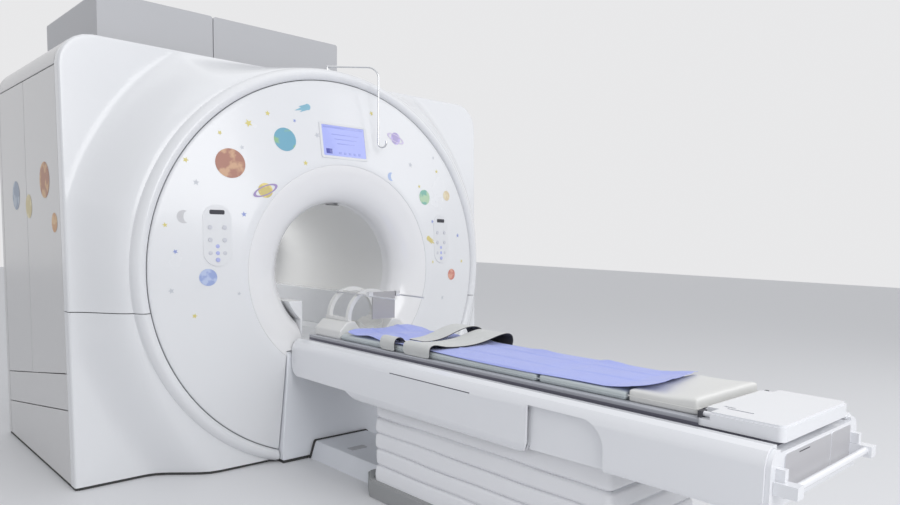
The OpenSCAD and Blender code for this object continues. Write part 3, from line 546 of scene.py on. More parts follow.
@dataclass(frozen=True)
class Patched(Finish):
    """A foil with soft patches of a second colour."""

    land: Colour = (0.5, 0.5, 0.5)
    patch_size: float = 20.0

    def _pattern(self, web: Web, where: Socket, tone: Socket) -> Socket:
        """Lays the patches over the tone.

        Args:
            web: The material's nodes.
            where: Its coordinates.
            tone: The main colour.

        Returns:
            The patched colour.
        """
        noise = web.add("TexNoise", {"Scale": self.patch_size, "Detail": 3.0, "Vector": where})
        ramp = web.add("ValToRGB", {"Fac": noise.outputs["Fac"]})
        for element, place in zip(ramp.color_ramp.elements, (0.48, 0.56)):
            element.position = place
        return web.add("Mix", {0: ramp.outputs["Color"], 6: tone, 7: (*self.land, 1.0)},
                       data_type="RGBA").outputs[2]


COVER = Finish("cover_white_gloss", (0.80, 0.81, 0.83), 0.26, drift=0.012, coat=0.35, uneven=0.04)
# Painted shade: a darker copy of the white cover's colour, laid on the side, skirt, roof and rear covers so
# that they look shaded beside the front covers.
COVER_SHADED_SIDE = Finish("cover_shaded_side_gloss", (0.64, 0.635, 0.635), 0.30, drift=0.012, coat=0.25, uneven=0.04)
FUNNEL = Finish("funnel_white_gloss", (0.84, 0.84, 0.85), 0.16, drift=0.008, coat=0.6, uneven=0.03)
PALE = Finish("cover_pale_satin", (0.50, 0.505, 0.525), 0.42, drift=0.02)
COLUMN = Finish("column_white_paint", (0.84, 0.86, 0.90), 0.35, drift=0.02, coat=0.2)
PANEL = Finish("panel_white_satin", (0.76, 0.77, 0.79), 0.34, drift=0.01, coat=0.2)
END_PANEL = Finish("end_panel_grey", (0.49, 0.485, 0.505), 0.45, drift=0.02)
COUCH = Finish("couch_white_gloss", (0.82, 0.83, 0.86), 0.20, drift=0.012, coat=0.5, uneven=0.03)
STEEL = Finish("frame_steel_paint", (0.30, 0.31, 0.33), 0.5, drift=0.05)
VESSEL = Brushed("vessel_brushed_steel", (0.60, 0.61, 0.63), 0.32, metal=1.0, stretch=(300.0, 5.0, 300.0))
RESIN = Finish("coil_resin", (0.55, 0.40, 0.22), 0.4, drift=0.12, drift_size=14.0)
COPPER = Brushed("coil_copper", (0.72, 0.40, 0.24), 0.3, metal=1.0, stretch=(300.0, 6.0, 300.0))
LINER = Finish("liner_white", (0.80, 0.80, 0.79), 0.42, drift=0.02)
BLACK = Finish("black_plastic", (0.018, 0.018, 0.02), 0.4, drift=0.2)
RUBBER = Finish("black_rubber", (0.014, 0.014, 0.015), 0.7, drift=0.2, grain_size=500.0, grain_depth=0.0001)
SCREEN = Finish("screen_blue", (0.21, 0.24, 0.62), 0.12, drift=0.02, coat=0.8, emit=0.2)
SCREEN_DARK = Finish("screen_dark_blue", (0.07, 0.08, 0.34), 0.12, coat=0.8, emit=0.2)
SCREEN_MID = Finish("screen_mid_blue", (0.30, 0.34, 0.70), 0.12, coat=0.8, emit=0.2)
KEY_GREY = Finish("key_grey", (0.62, 0.63, 0.68), 0.45)
KEY_BLUE = Finish("key_blue", (0.44, 0.48, 0.80), 0.4)
STAGE = Brushed("stage_brushed_steel", (0.56, 0.57, 0.59), 0.3, metal=1.0, stretch=(300.0, 300.0, 5.0))
PLINTH = Finish("plinth_grey_paint", (0.33, 0.335, 0.34), 0.5, drift=0.06, drift_size=6.0, grain_size=400.0,
                grain_depth=0.00006)
BELLOWS = Finish("bellows_white_vinyl", (0.84, 0.845, 0.87), 0.46, drift=0.03, grain_size=260.0,
                 grain_depth=0.0002)
RAIL = Brushed("rail_grey_aluminium", (0.10, 0.10, 0.13), 0.42, metal=0.2, stretch=(400.0, 4.0, 400.0))
TOP = Finish("top_grey_laminate", (0.46, 0.47, 0.51), 0.4, drift=0.03)
TOP_EDGE = Finish("top_dark_edge", (0.19, 0.185, 0.23), 0.45, drift=0.03)
CHANNEL = Finish("channel_grey_paint", (0.78, 0.80, 0.84), 0.45, drift=0.06, drift_size=6.0, grain_size=400.0,
                 grain_depth=0.00006)
VINYL = Finish("pad_grey_vinyl", (0.56, 0.61, 0.62), 0.42, drift=0.05, drift_size=5.0, grain_size=420.0,
               grain_depth=0.0003, sheen=0.1)
VINYL_WHITE = Finish("pad_white_vinyl", (0.74, 0.74, 0.72), 0.4, drift=0.03, drift_size=5.0, grain_size=420.0,
                     grain_depth=0.0003)
SHEET = Woven("sheet_blue_fleece", (0.37, 0.43, 0.88), 0.75, drift=0.05, drift_size=8.0, sheen=0.35,
              grain_depth=0.0002, thread=0.0016)
STRAP = Woven("strap_grey_loop", (0.64, 0.65, 0.635), 0.85, drift=0.06, drift_size=30.0, sheen=0.4,
              grain_depth=0.0004, thread=0.0022)
STRAP_DARK = Woven("strap_black_hook", (0.02, 0.02, 0.03), 0.85, drift=0.2, sheen=0.3, grain_depth=0.0005,
                   thread=0.0018)
COIL = Finish("coil_white_satin", (0.78, 0.78, 0.77), 0.4, drift=0.02, coat=0.1)
FOAM = Finish("neck_foam_pale", (0.70, 0.70, 0.68), 0.8, drift=0.08, drift_size=40.0, grain_size=300.0,
              grain_depth=0.0006)
ROD = Brushed("rod_steel", (0.62, 0.63, 0.65), 0.28, metal=1.0)
MIRROR = Finish("mirror_glass", (0.62, 0.63, 0.65), 0.05, metal=1.0, coat=0.5, uneven=0.02)
MIRROR_CASE = Finish("mirror_case_grey", (0.42, 0.41, 0.40), 0.62, drift=0.03)
CHROME = Brushed("hook_steel", (0.66, 0.67, 0.69), 0.22, metal=1.0, stretch=(60.0, 60.0, 60.0))


def finish_piece(obj: Piece, body: str, slot: str, *finishes: Finish) -> Piece:
    """Gives a piece its body and finish.

    Args:
        obj: The piece.
        body: The body it moves with.
        slot: The record's material slot; not used.
        finishes: Its finishes, the first on every face where there is only one.

    Returns:
        The piece.
    """
    if not obj.data.materials or len(finishes) == 1:
        obj.data.materials.clear()
        for finish in finishes:
            obj.data.materials.append(finish.make())
    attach(obj, body)
    log.info("%s: %d faces on %s", obj.name, len(obj.data.polygons), body)
    return obj


def redress(finish: Finish, *nodes: str) -> None:
    """Gives CAD nodes a better finish."""
    for node in nodes:
        mesh = frame["nodes"][node].data
        mesh.materials.clear()
        mesh.materials.append(finish.make())


def paint(obj: Piece, finish: Finish, test: Test) -> None:
    """Gives the faces whose middle and normal pass a test a finish of their own."""
    obj.data.materials.append(finish.make())
    for face in obj.data.polygons:
        if test(face.center, face.normal):
            face.material_index = len(obj.data.materials) - 1


def eased(node: str, finish: Finish, width: float, slot: str, body: str = "gantry", segments: int = 3,
          angle: float = 32.0) -> Piece:
    """Stands a copy of a CAD node with rounded edges in its place.

    Args:
        node: The node's name.
        finish: Its finish.
        width: Width of the rounding.
        slot: The record's material slot.
        body: The body it moves with.
        segments: Steps of the rounding.
        angle: Edges sharper than this are rounded, in degrees.

    Returns:
        The piece.
    """
    obj = linked(node + "_shell", frame["nodes"][node].data.copy())
    obj.data.materials.clear()
    with editing(obj):
        bpy.ops.mesh.remove_doubles(threshold=0.00002)
        bpy.ops.mesh.dissolve_limited(angle_limit=math.radians(0.4))
    if width:
        round_edges(obj, width, segments, angle)
    smooth(obj)
    modify(obj, "WEIGHTED_NORMAL", keep_sharp=True)
    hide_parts(node)
    return finish_piece(obj, body, slot, finish)


# The camera and the studio


@dataclass
class Camera:
    """The photographer's place."""

    place: Point = (-2.1766, -4.0964, 1.2069)
    turn: Point = (1.478799, -0.022190, -0.772234)
    lens: float = 28.77
    sensor: float = 36.0
    shift: tuple[float, float] = (-0.0348, 0.0542)
    reach: float = 100.0

    def build(self) -> None:
        """Sets the camera up."""
        data = bpy.data.cameras.new("Camera")
        data.lens = self.lens
        data.sensor_width = self.sensor
        data.shift_x, data.shift_y = self.shift
        data.clip_end = self.reach
        obj = linked("Camera", data)
        obj.location = self.place
        obj.rotation_euler = self.turn
        bpy.context.scene.camera = obj


@dataclass
class Studio:
    """Floor, lamps and surrounding light."""

    floor_size: float = 40.0
    floor_colour: Colour = (0.77, 0.775, 0.79)
    sky_colour: Colour = (0.95, 0.965, 1.0)
    shown_colour: Colour = (0.90, 0.90, 0.91)
    sky: float = 0.62
    shown: float = 0.9
    key: float = 120.0
    fill: float = 34.0
    bore: float = 1.3

    def build(self) -> None:
        """Lays the floor and hangs the lamps."""
        bpy.context.scene.view_settings.view_transform = "Standard"
        deselect()
        bpy.ops.mesh.primitive_plane_add(size=self.floor_size)
        floor = named(bpy.context.object, "studio_floor")
        floor.data.materials.append(self._floor_finish())
        self._light_world()
        self._lamp("Key", (-0.9, -6.6, 3.6), (0.0, -1.2, 0.9), self.key, 3.4)
        self._lamp("Fill", (4.6, -4.6, 3.6), (0.2, -1.5, 0.9), self.fill, 3.0)
        self._lamp("Ceiling", (-0.4, -1.4, 5.6), (-0.2, -1.2, 0.6), self.fill, 4.5)
        bore = self._lamp("Bore", (0.0, 0.50, 1.20), (0.0, -0.9, 0.86), self.bore, 0.24)
        bore.visible_camera = False
        bore.visible_glossy = False

    def _floor_finish(self) -> bpy.types.Material:
        """Builds the floor's pale finish."""
        material = bpy.data.materials.new("studio_floor_pale")
        web = Web(material)
        grain = web.add("TexNoise", {"Scale": 60.0})
        bump = web.add("Bump", {"Distance": 0.0005, "Strength": 0.2, "Height": grain.outputs["Fac"]})
        web.fill(web.nodes["Principled BSDF"], {
            "Base Color": (*self.floor_colour, 1.0), "Roughness": 0.55, "Normal": bump.outputs["Normal"]})
        return material

    def _light_world(self) -> None:
        """Makes the sky light the object softly and look near white."""
        world = bpy.data.worlds.new("Studio")
        bpy.context.scene.world = world
        web = Web(world)
        web.nodes.clear()
        ray = web.add("LightPath", {}).outputs
        seen = web.add("Math", {0: ray["Is Camera Ray"], 1: ray["Is Glossy Ray"]}, operation="MAXIMUM")
        light = web.add("Background", {"Color": (*self.sky_colour, 1.0), "Strength": self.sky})
        shown = web.add("Background", {"Color": (*self.shown_colour, 1.0), "Strength": self.shown})
        mix = web.add("MixShader", {0: seen.outputs["Value"], 1: light.outputs["Background"],
                                    2: shown.outputs["Background"]})
        web.add("OutputWorld", {"Surface": mix.outputs["Shader"]})

    def _lamp(self, name: str, place: Point, aim: Point, power: float, size: float) -> Piece:
        """Hangs one soft lamp.

        Args:
            name: Its name.
            place: Where it hangs.
            aim: What it faces.
            power: Its watts.
            size: Its side.

        Returns:
            The lamp.
        """
        data = bpy.data.lights.new(name, "AREA")
        data.energy = power
        data.size = size
        obj = linked(name, data)
        obj.location = place
        obj.rotation_euler = (Vector(aim) - Vector(place)).to_track_quat("-Z", "Y").to_euler()
        return obj


# The casing


@dataclass
class Casing:
    """The gantry's covers, from the rounded rim to the rear."""

    half_width: float = 1.262
    roof: float = 2.070
    shoulder: float = 0.150
    rim_r: float = 1.062
    wing_back: float = 0.200
    lean: float = 0.035
    lift: float = 0.014
    seam: float = 0.820
    gap: float = 0.004
    wall: float = 0.010
    depth: float = 0.060
    column: float = 0.356
    turns: int = 288
    sweep: int = 26
    low_start: float = 0.260
    span: float = 0.240
    least_span: float = 0.006
    rim_back: float = 0.034
    edge_back: float = 0.018
    hand_slot: tuple[float, float] = (0.215, FRONT + 0.062)
    hand_half: tuple[float, float] = (0.065, 0.009)
    roll_in: float = 0.006
    roll_short: float = 0.008
    roll_back: float = 0.040
    roll_end: float = 0.070
    roll_wall: float = 0.012
    disc_room: tuple[Point, Point] = ((-0.356, -1.2, 0.0), (0.356, 0.5, 0.6))
    roll_rooms: Sequence[tuple[Point, Point]] = (((-0.252, -1.2, 0.5997), (0.252, 0.5, 0.750)),
                                                 ((-0.354, -1.2, 0.3), (0.354, 0.5, 0.598)))
    edge_round: float = 0.010
    edge_steps: int = 6
    rim: Line = ((1.000, 0.010), (1.003, 0.002), (1.008, -0.004), (1.016, -0.009), (1.026, -0.012),
                 (1.035, -0.0105), (1.042, -0.006), (1.050, 0.002), (1.056, 0.012), (1.060, 0.021),
                 (1.062, 0.030))
    cone: Sequence[float] = (0.559, 0.60, 0.68, 0.76, 0.84, 0.91, 0.966)
    cone_edge: Line = ((0.977, -0.0035), (0.985, -0.001), (0.991, 0.001), (0.9945, 0.0035), (0.9965, 0.007),
                       (0.997, 0.010), (0.997, 0.022), (0.984, 0.022), (0.956, 0.0045), (0.800, -0.0246),
                       (0.559, -0.070))

    def build(self) -> None:
        """Makes the covers."""
        self.front_covers()
        # The side, skirt, roof and rear covers take the darker copy of the cover white, which is painted
        # shade.
        for node, width in (("side_panels", 0.004), ("side_skirts", 0.004), ("rear_cover", 0.006)):
            eased(node, COVER_SHADED_SIDE, width, "cover_white")
        eased("roof_cover", COVER_SHADED_SIDE, 0.004, "cover_white", angle=40)
        eased("turret_covers", PALE, 0.006, "cover_pale", angle=40)
        self.disc()
        self.funnel()
        eased("rear_funnel", FUNNEL, 0.0, "cover_white")
        for finish, *nodes in ((RUBBER, "floor_gasket"), (STEEL, "support_frame", "floor_frame"),
                               (VESSEL, "magnet_vessel", "service_turret"), (BLACK, "cold_head"),
                               (RESIN, "gradient_coil"), (COPPER, "body_coil")):
            redress(finish, *nodes)

    def reach(self, turn: float) -> float:
        """Finds how far the casing's outline is from the bore's axis.

        Args:
            turn: Direction seen from the front, in radians.

        Returns:
            The distance.
        """
        across, up, small = abs(math.cos(turn)), math.sin(turn), 0.001
        top = self.roof - AXIS
        plain = min(self.half_width / max(across, small), top / max(up, small), 1.6 * self.half_width)
        w, t = self.half_width - self.shoulder, top - self.shoulder
        along = across * w + up * t
        inside = along * along - w * w - t * t + self.shoulder ** 2
        if inside < 0:
            return plain
        far = along + math.sqrt(inside)
        return far if far > 0 and across * far > w and up * far > t else plain

    def section(self, turn: float) -> list[tuple[float, float]]:
        """Gives the cover's outer line from rim to return, in radius and depth.

        Args:
            turn: Direction seen from the front, in radians.

        Returns:
            The points.
        """
        edge = self.reach(turn)
        start = min(self.rim_r + self.low_start * max(0.0, -math.sin(turn)) ** 4, edge - self.least_span)
        out = self.wing_back + self.lean * max(0.0, AXIS + edge * math.sin(turn))
        span = min(self.span, edge - start)
        first = max(start, self.rim_r + 0.002)
        round_by = min(self.edge_round, (edge - start) / 20)
        line = list(self.rim)
        for i in range(self.sweep):
            r = first + i / (self.sweep - 1) * (edge - first)
            u = clamp((r - start) / span, 0.0, 1.0)
            trim = round_by if i == self.sweep - 1 else 0.0
            line.append((r - trim, self.rim_back + (out - self.rim_back) * u * u * (3 - 2 * u)))
        for i in range(1, self.edge_steps + 1):
            a = i * math.pi / 2 / self.edge_steps
            line.append((edge - round_by * (1 - math.sin(a)), out + self.edge_back * (1 - math.cos(a))))
        line.append((edge, out + self.depth))
        return line

    def front_covers(self) -> None:
        """Makes the upper and lower front covers with the seam between them."""
        across = self.turns + 1
        angles = [DOWN + TAU * i / self.turns for i in range(across)]
        lines = [self.section(turn) for turn in angles]
        deselect()
        bpy.ops.mesh.primitive_grid_add(x_subdivisions=self.turns, y_subdivisions=len(lines[0]) - 1, size=2.0)
        shell = named(bpy.context.object, "front_cover_upper_shell")
        points = shell.data.vertices
        order = sorted(range(len(points)), key=lambda i: (round(points[i].co.y, 5), points[i].co.x))
        for place, index in enumerate(order):
            row, column = divmod(place, across)
            turn, (r, y) = angles[column], lines[column][row]
            points[index].co = (r * math.cos(turn), FRONT + y, AXIS + r * math.sin(turn))
        shell.data.update()
        tidy(shell, 0.0004)
        slice_at(shell, (0, 0, self.lift), UP, clear_inner=True)
        for x in (-self.column, self.column):
            slice_at(shell, (x, 0, 0), ACROSS)
        with editing(shell):
            pick(shell, Pick.FACE, lambda m, n: abs(m.x) < self.column and m.z < 0.6)
            bpy.ops.mesh.delete(type="FACE")
        face_along(shell, (0, -1, 0))
        lower = named(linked("lower", shell.data.copy()), "front_cover_lower_shell")
        slice_at(shell, (0, 0, self.seam + self.gap / 2), UP, clear_inner=True)
        slice_at(lower, (0, 0, self.seam - self.gap / 2), UP, clear_outer=True)
        for piece, node in ((shell, "front_cover_upper"), (lower, "front_cover_lower")):
            modify(piece, "SOLIDIFY", thickness=self.wall, offset=-1.0)
            if piece is shell:
                (x, y), (w, d) = self.hand_slot, self.hand_half
                cut_box(piece, (x - w, y - d, 1.9), (x + w, y + d, 2.2))
            smooth(piece, 40)
            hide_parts(node)
            finish_piece(piece, "gantry", "cover_white", COVER)

    def disc(self) -> None:
        """Spins the shallow cone of the front disc and cuts out the dock column's room."""
        profile = [(r, CONE_DEPTH * (r - DISC_R) / (DISC_R - FUNNEL_R)) for r in self.cone]
        disc = lathe("front_disc_shell", [(r, FRONT + y) for r, y in (*profile, *self.cone_edge)], 288)
        cut_box(disc, *self.disc_room)
        round_edges(disc, 0.0015, 2, 50)
        smooth(disc, 30)
        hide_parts("front_disc")
        finish_piece(disc, "gantry", "cover_white", COVER)

    def funnel(self) -> None:
        """Spins the bore's funnel as one smooth roll and cuts the bed's and the column's room."""
        wall, end, back = self.roll_wall, self.roll_end, self.roll_back

        def roll(out: float, steps: int) -> list[tuple[float, float]]:
            """Gives the roll's inner or outer line in radius and depth."""
            wide = FUNNEL_R - BORE_R - self.roll_short - out
            turns = [math.pi / 2 * i / steps for i in range(steps + 1)]
            return [(BORE_R + self.roll_in + out + wide * (1 - math.sin(a)),
                     back - (back + CONE_DEPTH - out) * math.cos(a)) for a in turns]

        line = [*roll(0.0, 32), (BORE_R, end), (BORE_R + wall, end), *roll(wall, 16)[::-1],
                (FUNNEL_R + 0.020, -0.0620)]
        funnel = lathe("front_funnel_shell", [(r, FRONT + y) for r, y in line], 240)
        for low, high in self.roll_rooms:
            cut_box(funnel, low, high)
        smooth(funnel, 40)
        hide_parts("front_funnel")
        finish_piece(funnel, "gantry", "cover_white", FUNNEL)


# The front's fittings


@dataclass
class Fascia:
    """Display, control panels, readouts and keys."""

    display_z: float = 1.682
    panel_x: float = 0.695
    panel_z: float = 1.178
    slope: float = math.atan(CONE_DEPTH / (DISC_R - FUNNEL_R))
    tile_out: float = 0.0011
    tile_thick: float = 0.0005
    tile_edge: float = 0.0002
    key_r: float = 0.0093
    key_dome: float = 0.16
    key_places: Line = ((0.0, -0.052), (-0.033, -0.084), (0.0, -0.084), (0.033, -0.084))

    def build(self) -> None:
        """Dresses the display and the panels."""
        eased("fascia_panels", PANEL, 0.0012, "cover_white", segments=2, angle=40)
        redress(SCREEN, "display_screen")
        redress(BLACK, "dark_windows")
        redress(CHROME, "hook_socket", "hook_arm")
        for side in "lr":
            redress(KEY_GREY, *(f"button_{side}{i}" for i in range(1, 5)))
            redress(KEY_BLUE, f"button_{side}5")
        self.picture()
        for side in (-1, 1):
            self.touch_keys(side)

    def seat(self, x: float, z: float, right: float, up: float, out: float) -> Vector:
        """Finds a place on a fitting that stands on the cone.

        Args:
            x: The fitting's middle across.
            z: The fitting's middle in height.
            right: Distance to the right of its middle.
            up: Distance above its middle.
            out: Distance in front of its seat.

        Returns:
            The place.
        """
        r = math.hypot(x, z - AXIS)
        tilt = -self.slope * (z - AXIS) / r
        swing = self.slope * x / r
        place = Vector((right, -out, up))
        place = Vector((place.x, place.y * math.cos(tilt) - place.z * math.sin(tilt),
                        place.y * math.sin(tilt) + place.z * math.cos(tilt)))
        place = Vector((place.x * math.cos(swing) - place.y * math.sin(swing),
                        place.x * math.sin(swing) + place.y * math.cos(swing), place.z))
        return place + Vector((x, cone_y(r), z))

    def tile(self, name: str, middle: tuple[float, float], size: tuple[float, float], finish: Finish) -> None:
        """Lays a thin tile of colour on the display.

        Args:
            name: The tile's name.
            middle: Its middle, right and up from the display's.
            size: Its width and height.
            finish: Its finish.
        """
        (x, z), (w, h) = middle, size
        obj = block(name, (x - w / 2, self.tile_out, z - h / 2),
                    (x + w / 2, self.tile_out + self.tile_thick, z + h / 2), self.tile_edge)
        reshape(obj, lambda p: self.seat(0, self.display_z, p.x, p.z, p.y))
        tidy(obj, 0.000001)
        smooth(obj)
        finish_piece(obj, "gantry", "screen_blue", finish)

    def picture(self) -> None:
        """Lays the display's plain fields of colour."""
        self.tile("display_bar", (0, 0.071), (0.250, 0.010), SCREEN_MID)
        self.tile("display_corner", (-0.098, -0.058), (0.036, 0.026), SCREEN_DARK)
        for i in range(5):
            self.tile(f"display_icon_{i}", (-0.030 + i * 0.030, -0.064), (0.018, 0.012), SCREEN_MID)
        for i in range(3):
            self.tile(f"display_line_{i}", (0.010, 0.034 - i * 0.024), (0.170 - i * 0.030, 0.004), SCREEN_MID)

    def touch_keys(self, side: int) -> None:
        """Fills the wells of the left panel, at -1, or the right one, at 1, with domed touch keys."""
        for i, (right, up) in enumerate(self.key_places):
            deselect()
            bpy.ops.mesh.primitive_uv_sphere_add(segments=32, ring_count=16, radius=self.key_r)
            key = named(bpy.context.object, f"touch_key_{'l' if side < 0 else 'r'}{i}")
            reshape(key, lambda p, r=right, u=up: self.seat(
                side * self.panel_x, self.panel_z, r + p.x, u + p.z,
                0.0012 + max(0.0, -p.y) * self.key_dome))
            tidy(key, 0.000001)
            smooth(key)
            finish_piece(key, "gantry", "button_grey", KEY_GREY if right else KEY_BLUE)


# Stuck-on pictures


@dataclass(frozen=True)
class Spot:
    """A picture's name, middle, radius and colour."""

    name: str
    x: float
    z: float
    radius: float
    colour: Colour


@dataclass
class Stickers:
    """Plain ringed planets, comets, moons and stars stuck on the disc and the near side."""

    proud: float = 0.0006
    foil: float = 0.0004
    near_side: float = -1.262
    ring_reach: tuple[float, float] = (1.45, 1.85)
    ring_flat: float = 0.34
    ring_steps: int = 72
    ring_lift: float = 0.0005
    star_colours: Sequence[Colour] = ((0.70, 0.62, 0.22), (0.58, 0.60, 0.64), (0.30, 0.36, 0.66))
    stars: Sequence[tuple[float, float, float, int]] = (
        (-0.52, 1.72, 0.020, 0), (-0.24, 1.55, 0.014, 0), (-0.16, 1.70, 0.016, 1), (-0.66, 1.66, 0.012, 0),
        (-0.78, 1.42, 0.016, 1), (-0.88, 1.10, 0.012, 2), (-0.70, 1.22, 0.010, 0), (-0.57, 1.28, 0.014, 2),
        (0.20, 1.86, 0.014, 0), (0.46, 1.60, 0.016, 1), (0.68, 1.58, 0.013, 0), (0.86, 1.20, 0.014, 2),
        (0.62, 1.04, 0.010, 0), (0.72, 0.82, 0.014, 1), (-0.80, 0.80, 0.013, 0), (-0.60, 0.90, 0.010, 1),
        (-0.42, 1.78, 0.014, 0), (-0.56, 1.60, 0.012, 1), (-0.28, 1.76, 0.010, 2), (0.12, 1.76, 0.010, 1),
        (0.52, 1.48, 0.012, 0), (0.62, 1.28, 0.012, 2), (-0.82, 1.52, 0.014, 0), (-0.92, 1.22, 0.012, 0),
        (0.90, 1.04, 0.012, 0), (-0.90, 0.92, 0.014, 1), (0.66, 1.66, 0.010, 1))

    def build(self) -> None:
        """Sticks them all on."""
        self.globe(Spot("planet_teal", -0.34, 1.66, 0.058, (0.18, 0.42, 0.55)), (0.30, 0.52, 0.30))
        self.globe(Spot("planet_rust", -0.62, 1.52, 0.070, (0.42, 0.20, 0.15)), (0.62, 0.38, 0.24))
        self.ringed(Spot("planet_ringed", -0.46, 1.40, 0.036, (0.62, 0.52, 0.20)), (0.36, 0.28, 0.52), 25)
        self.globe(Spot("planet_blue", -0.74, 0.98, 0.040, (0.34, 0.42, 0.70)), (0.50, 0.58, 0.80))
        self.ringed(Spot("planet_violet", 0.36, 1.74, 0.034, (0.46, 0.40, 0.66)), (0.66, 0.60, 0.78), -18)
        self.globe(Spot("planet_green", 0.56, 1.42, 0.044, (0.24, 0.50, 0.42)), (0.48, 0.66, 0.46))
        self.globe(Spot("planet_sand", 0.76, 1.44, 0.030, (0.72, 0.60, 0.40)), (0.80, 0.72, 0.52))
        self.globe(Spot("planet_red", 0.80, 0.96, 0.034, (0.62, 0.24, 0.20)), (0.74, 0.40, 0.30))
        self.comet(Spot("comet_teal", -0.20, 1.84, 0.016, (0.26, 0.50, 0.62)), 200)
        self.comet(Spot("comet_gold", 0.58, 1.18, 0.015, (0.70, 0.60, 0.24)), 330)
        self.moon(Spot("moon_pale", -0.84, 1.26, 0.030, (0.60, 0.60, 0.62)))
        self.moon(Spot("moon_blue", 0.30, 1.52, 0.024, (0.44, 0.54, 0.78)))
        for i, (x, z, size, tone) in enumerate(self.stars):
            self.star(Spot(f"star_{i:02d}", x, z, size, self.star_colours[tone]))
        for spot, land in (
                (Spot("side_planet_rust", 0.55, 1.42, 0.085, (0.46, 0.22, 0.14)), (0.66, 0.42, 0.22)),
                (Spot("side_planet_sand", 0.86, 1.30, 0.060, (0.66, 0.56, 0.30)), (0.76, 0.68, 0.44)),
                (Spot("side_planet_slate", 1.12, 1.36, 0.075, (0.30, 0.36, 0.46)), (0.46, 0.52, 0.60)),
                (Spot("side_planet_clay", 0.40, 1.22, 0.045, (0.62, 0.34, 0.16)), (0.72, 0.48, 0.26))):
            obj = self.planet(spot, land)
            reshape(obj, lambda p, s=spot: Vector(
                (self.near_side - self.proud, FRONT + s.x - p.x, s.z + p.y)))
            self._stick(obj)

    def on_cone(self, obj: Piece, spot: Spot, lift: float = 0.0) -> None:
        """Bends a flat picture onto the disc.

        Args:
            obj: The flat picture, facing up about the origin.
            spot: Where it goes.
            lift: Extra height over pictures beneath it.
        """
        def place(p: Vector) -> Vector:
            """Finds a point's place on the cone."""
            r = math.hypot(spot.x + p.x, spot.z + p.y - AXIS)
            return Vector((spot.x + p.x, cone_y(r) - self.proud - lift, spot.z + p.y))

        reshape(obj, place)
        self._stick(obj)

    def _stick(self, obj: Piece) -> None:
        """Gives a picture its foil's thickness and lets it ride."""
        modify(obj, "SOLIDIFY", thickness=self.foil, offset=1.0)
        finish_piece(obj, "gantry", "cover_white")

    def disc(self, spot: Spot) -> Piece:
        """Makes a flat disc with enough rings to bend."""
        deselect()
        bpy.ops.mesh.primitive_circle_add(vertices=48, radius=spot.radius, fill_type="NGON")
        obj = named(bpy.context.object, spot.name)
        with editing(obj):
            for share in (0.45, 0.35):
                bpy.ops.mesh.inset(thickness=spot.radius * share)
        return obj

    def coloured(self, obj: Piece, name: str, colour: Colour) -> Piece:
        """Gives a flat picture its plain foil."""
        obj.data.materials.append(Finish("foil_" + name, colour, 0.4, drift=0.06, drift_size=30.0).make())
        return obj

    def planet(self, spot: Spot, land: Colour) -> Piece:
        """Makes a flat round planet with soft patches of a second colour."""
        obj = self.disc(spot)
        foil = Patched("foil_" + spot.name, spot.colour, 0.4, land=land, patch_size=0.9 / spot.radius)
        obj.data.materials.append(foil.make())
        return obj

    def globe(self, spot: Spot, land: Colour) -> None:
        """Sticks on a round planet with soft patches."""
        self.on_cone(self.planet(spot, land), spot)

    def ringed(self, spot: Spot, ring: Colour, lean: float) -> None:
        """Sticks on a planet with a ring.

        Args:
            spot: The planet.
            ring: The ring's colour.
            lean: The ring's tilt in degrees.
        """
        self.globe(spot, tuple(min(1.0, c * 1.3) for c in spot.colour))
        name, steps, tilt = spot.name + "_ring", self.ring_steps, math.radians(lean)
        points, faces = [], []
        for i in range(steps):
            a = TAU * i / steps
            for wide in self.ring_reach:
                px, py = spot.radius * wide * math.cos(a), spot.radius * wide * self.ring_flat * math.sin(a)
                points.append((px * math.cos(tilt) - py * math.sin(tilt),
                               px * math.sin(tilt) + py * math.cos(tilt), 0))
            j = (i + 1) % steps
            faces.append((2 * i, 2 * i + 1, 2 * j + 1, 2 * j))
        mesh = bpy.data.meshes.new(name)
        mesh.from_pydata(points, [], faces)
        self.on_cone(self.coloured(linked(name, mesh), name, ring), spot, self.ring_lift)

    def comet(self, spot: Spot, turn: float) -> None:
        """Sticks on a comet whose tapering tail points along a turn in degrees."""
        head = self.disc(spot)
        tail = filled(spot.name + "_tail", [
            (spot.radius * x, spot.radius * y, 0)
            for x, y in ((0, 0.9), (3.4, 0.9), (2.4, 0.45), (5.0, 0), (2.4, -0.4), (3.0, -0.9), (0, -0.9))])
        both = joined(spot.name, [head, tail])
        both.rotation_euler = (0, 0, math.radians(turn))
        settle(both)
        self.on_cone(self.coloured(both, spot.name, spot.colour), spot)

    def moon(self, spot: Spot) -> None:
        """Sticks on a crescent moon."""
        outer = [(math.cos(a), math.sin(a)) for a in [math.radians(60 + 240 * i / 24) for i in range(25)]]
        inner = [(0.5 + 0.866 * math.cos(a) * 0.62, 0.866 * math.sin(a))
                 for a in [math.radians(270 - 180 * i / 20) for i in range(1, 20)]]
        obj = filled(spot.name, [(spot.radius * x, spot.radius * y, 0.0) for x, y in outer + inner])
        self.on_cone(self.coloured(obj, spot.name, spot.colour), spot)

    def star(self, spot: Spot) -> None:
        """Sticks on a five-pointed star."""
        rays = [(spot.radius * (1.0 if i % 2 else 0.45), TAU * i / 10 + spot.x * 7) for i in range(10)]
        obj = filled(spot.name, [(r * math.cos(turn), r * math.sin(turn), 0.0) for r, turn in rays])
        self.on_cone(self.coloured(obj, "star_" + str(round(spot.colour[0] * 100)), spot.colour), spot)


# The bore, the dock and the lift


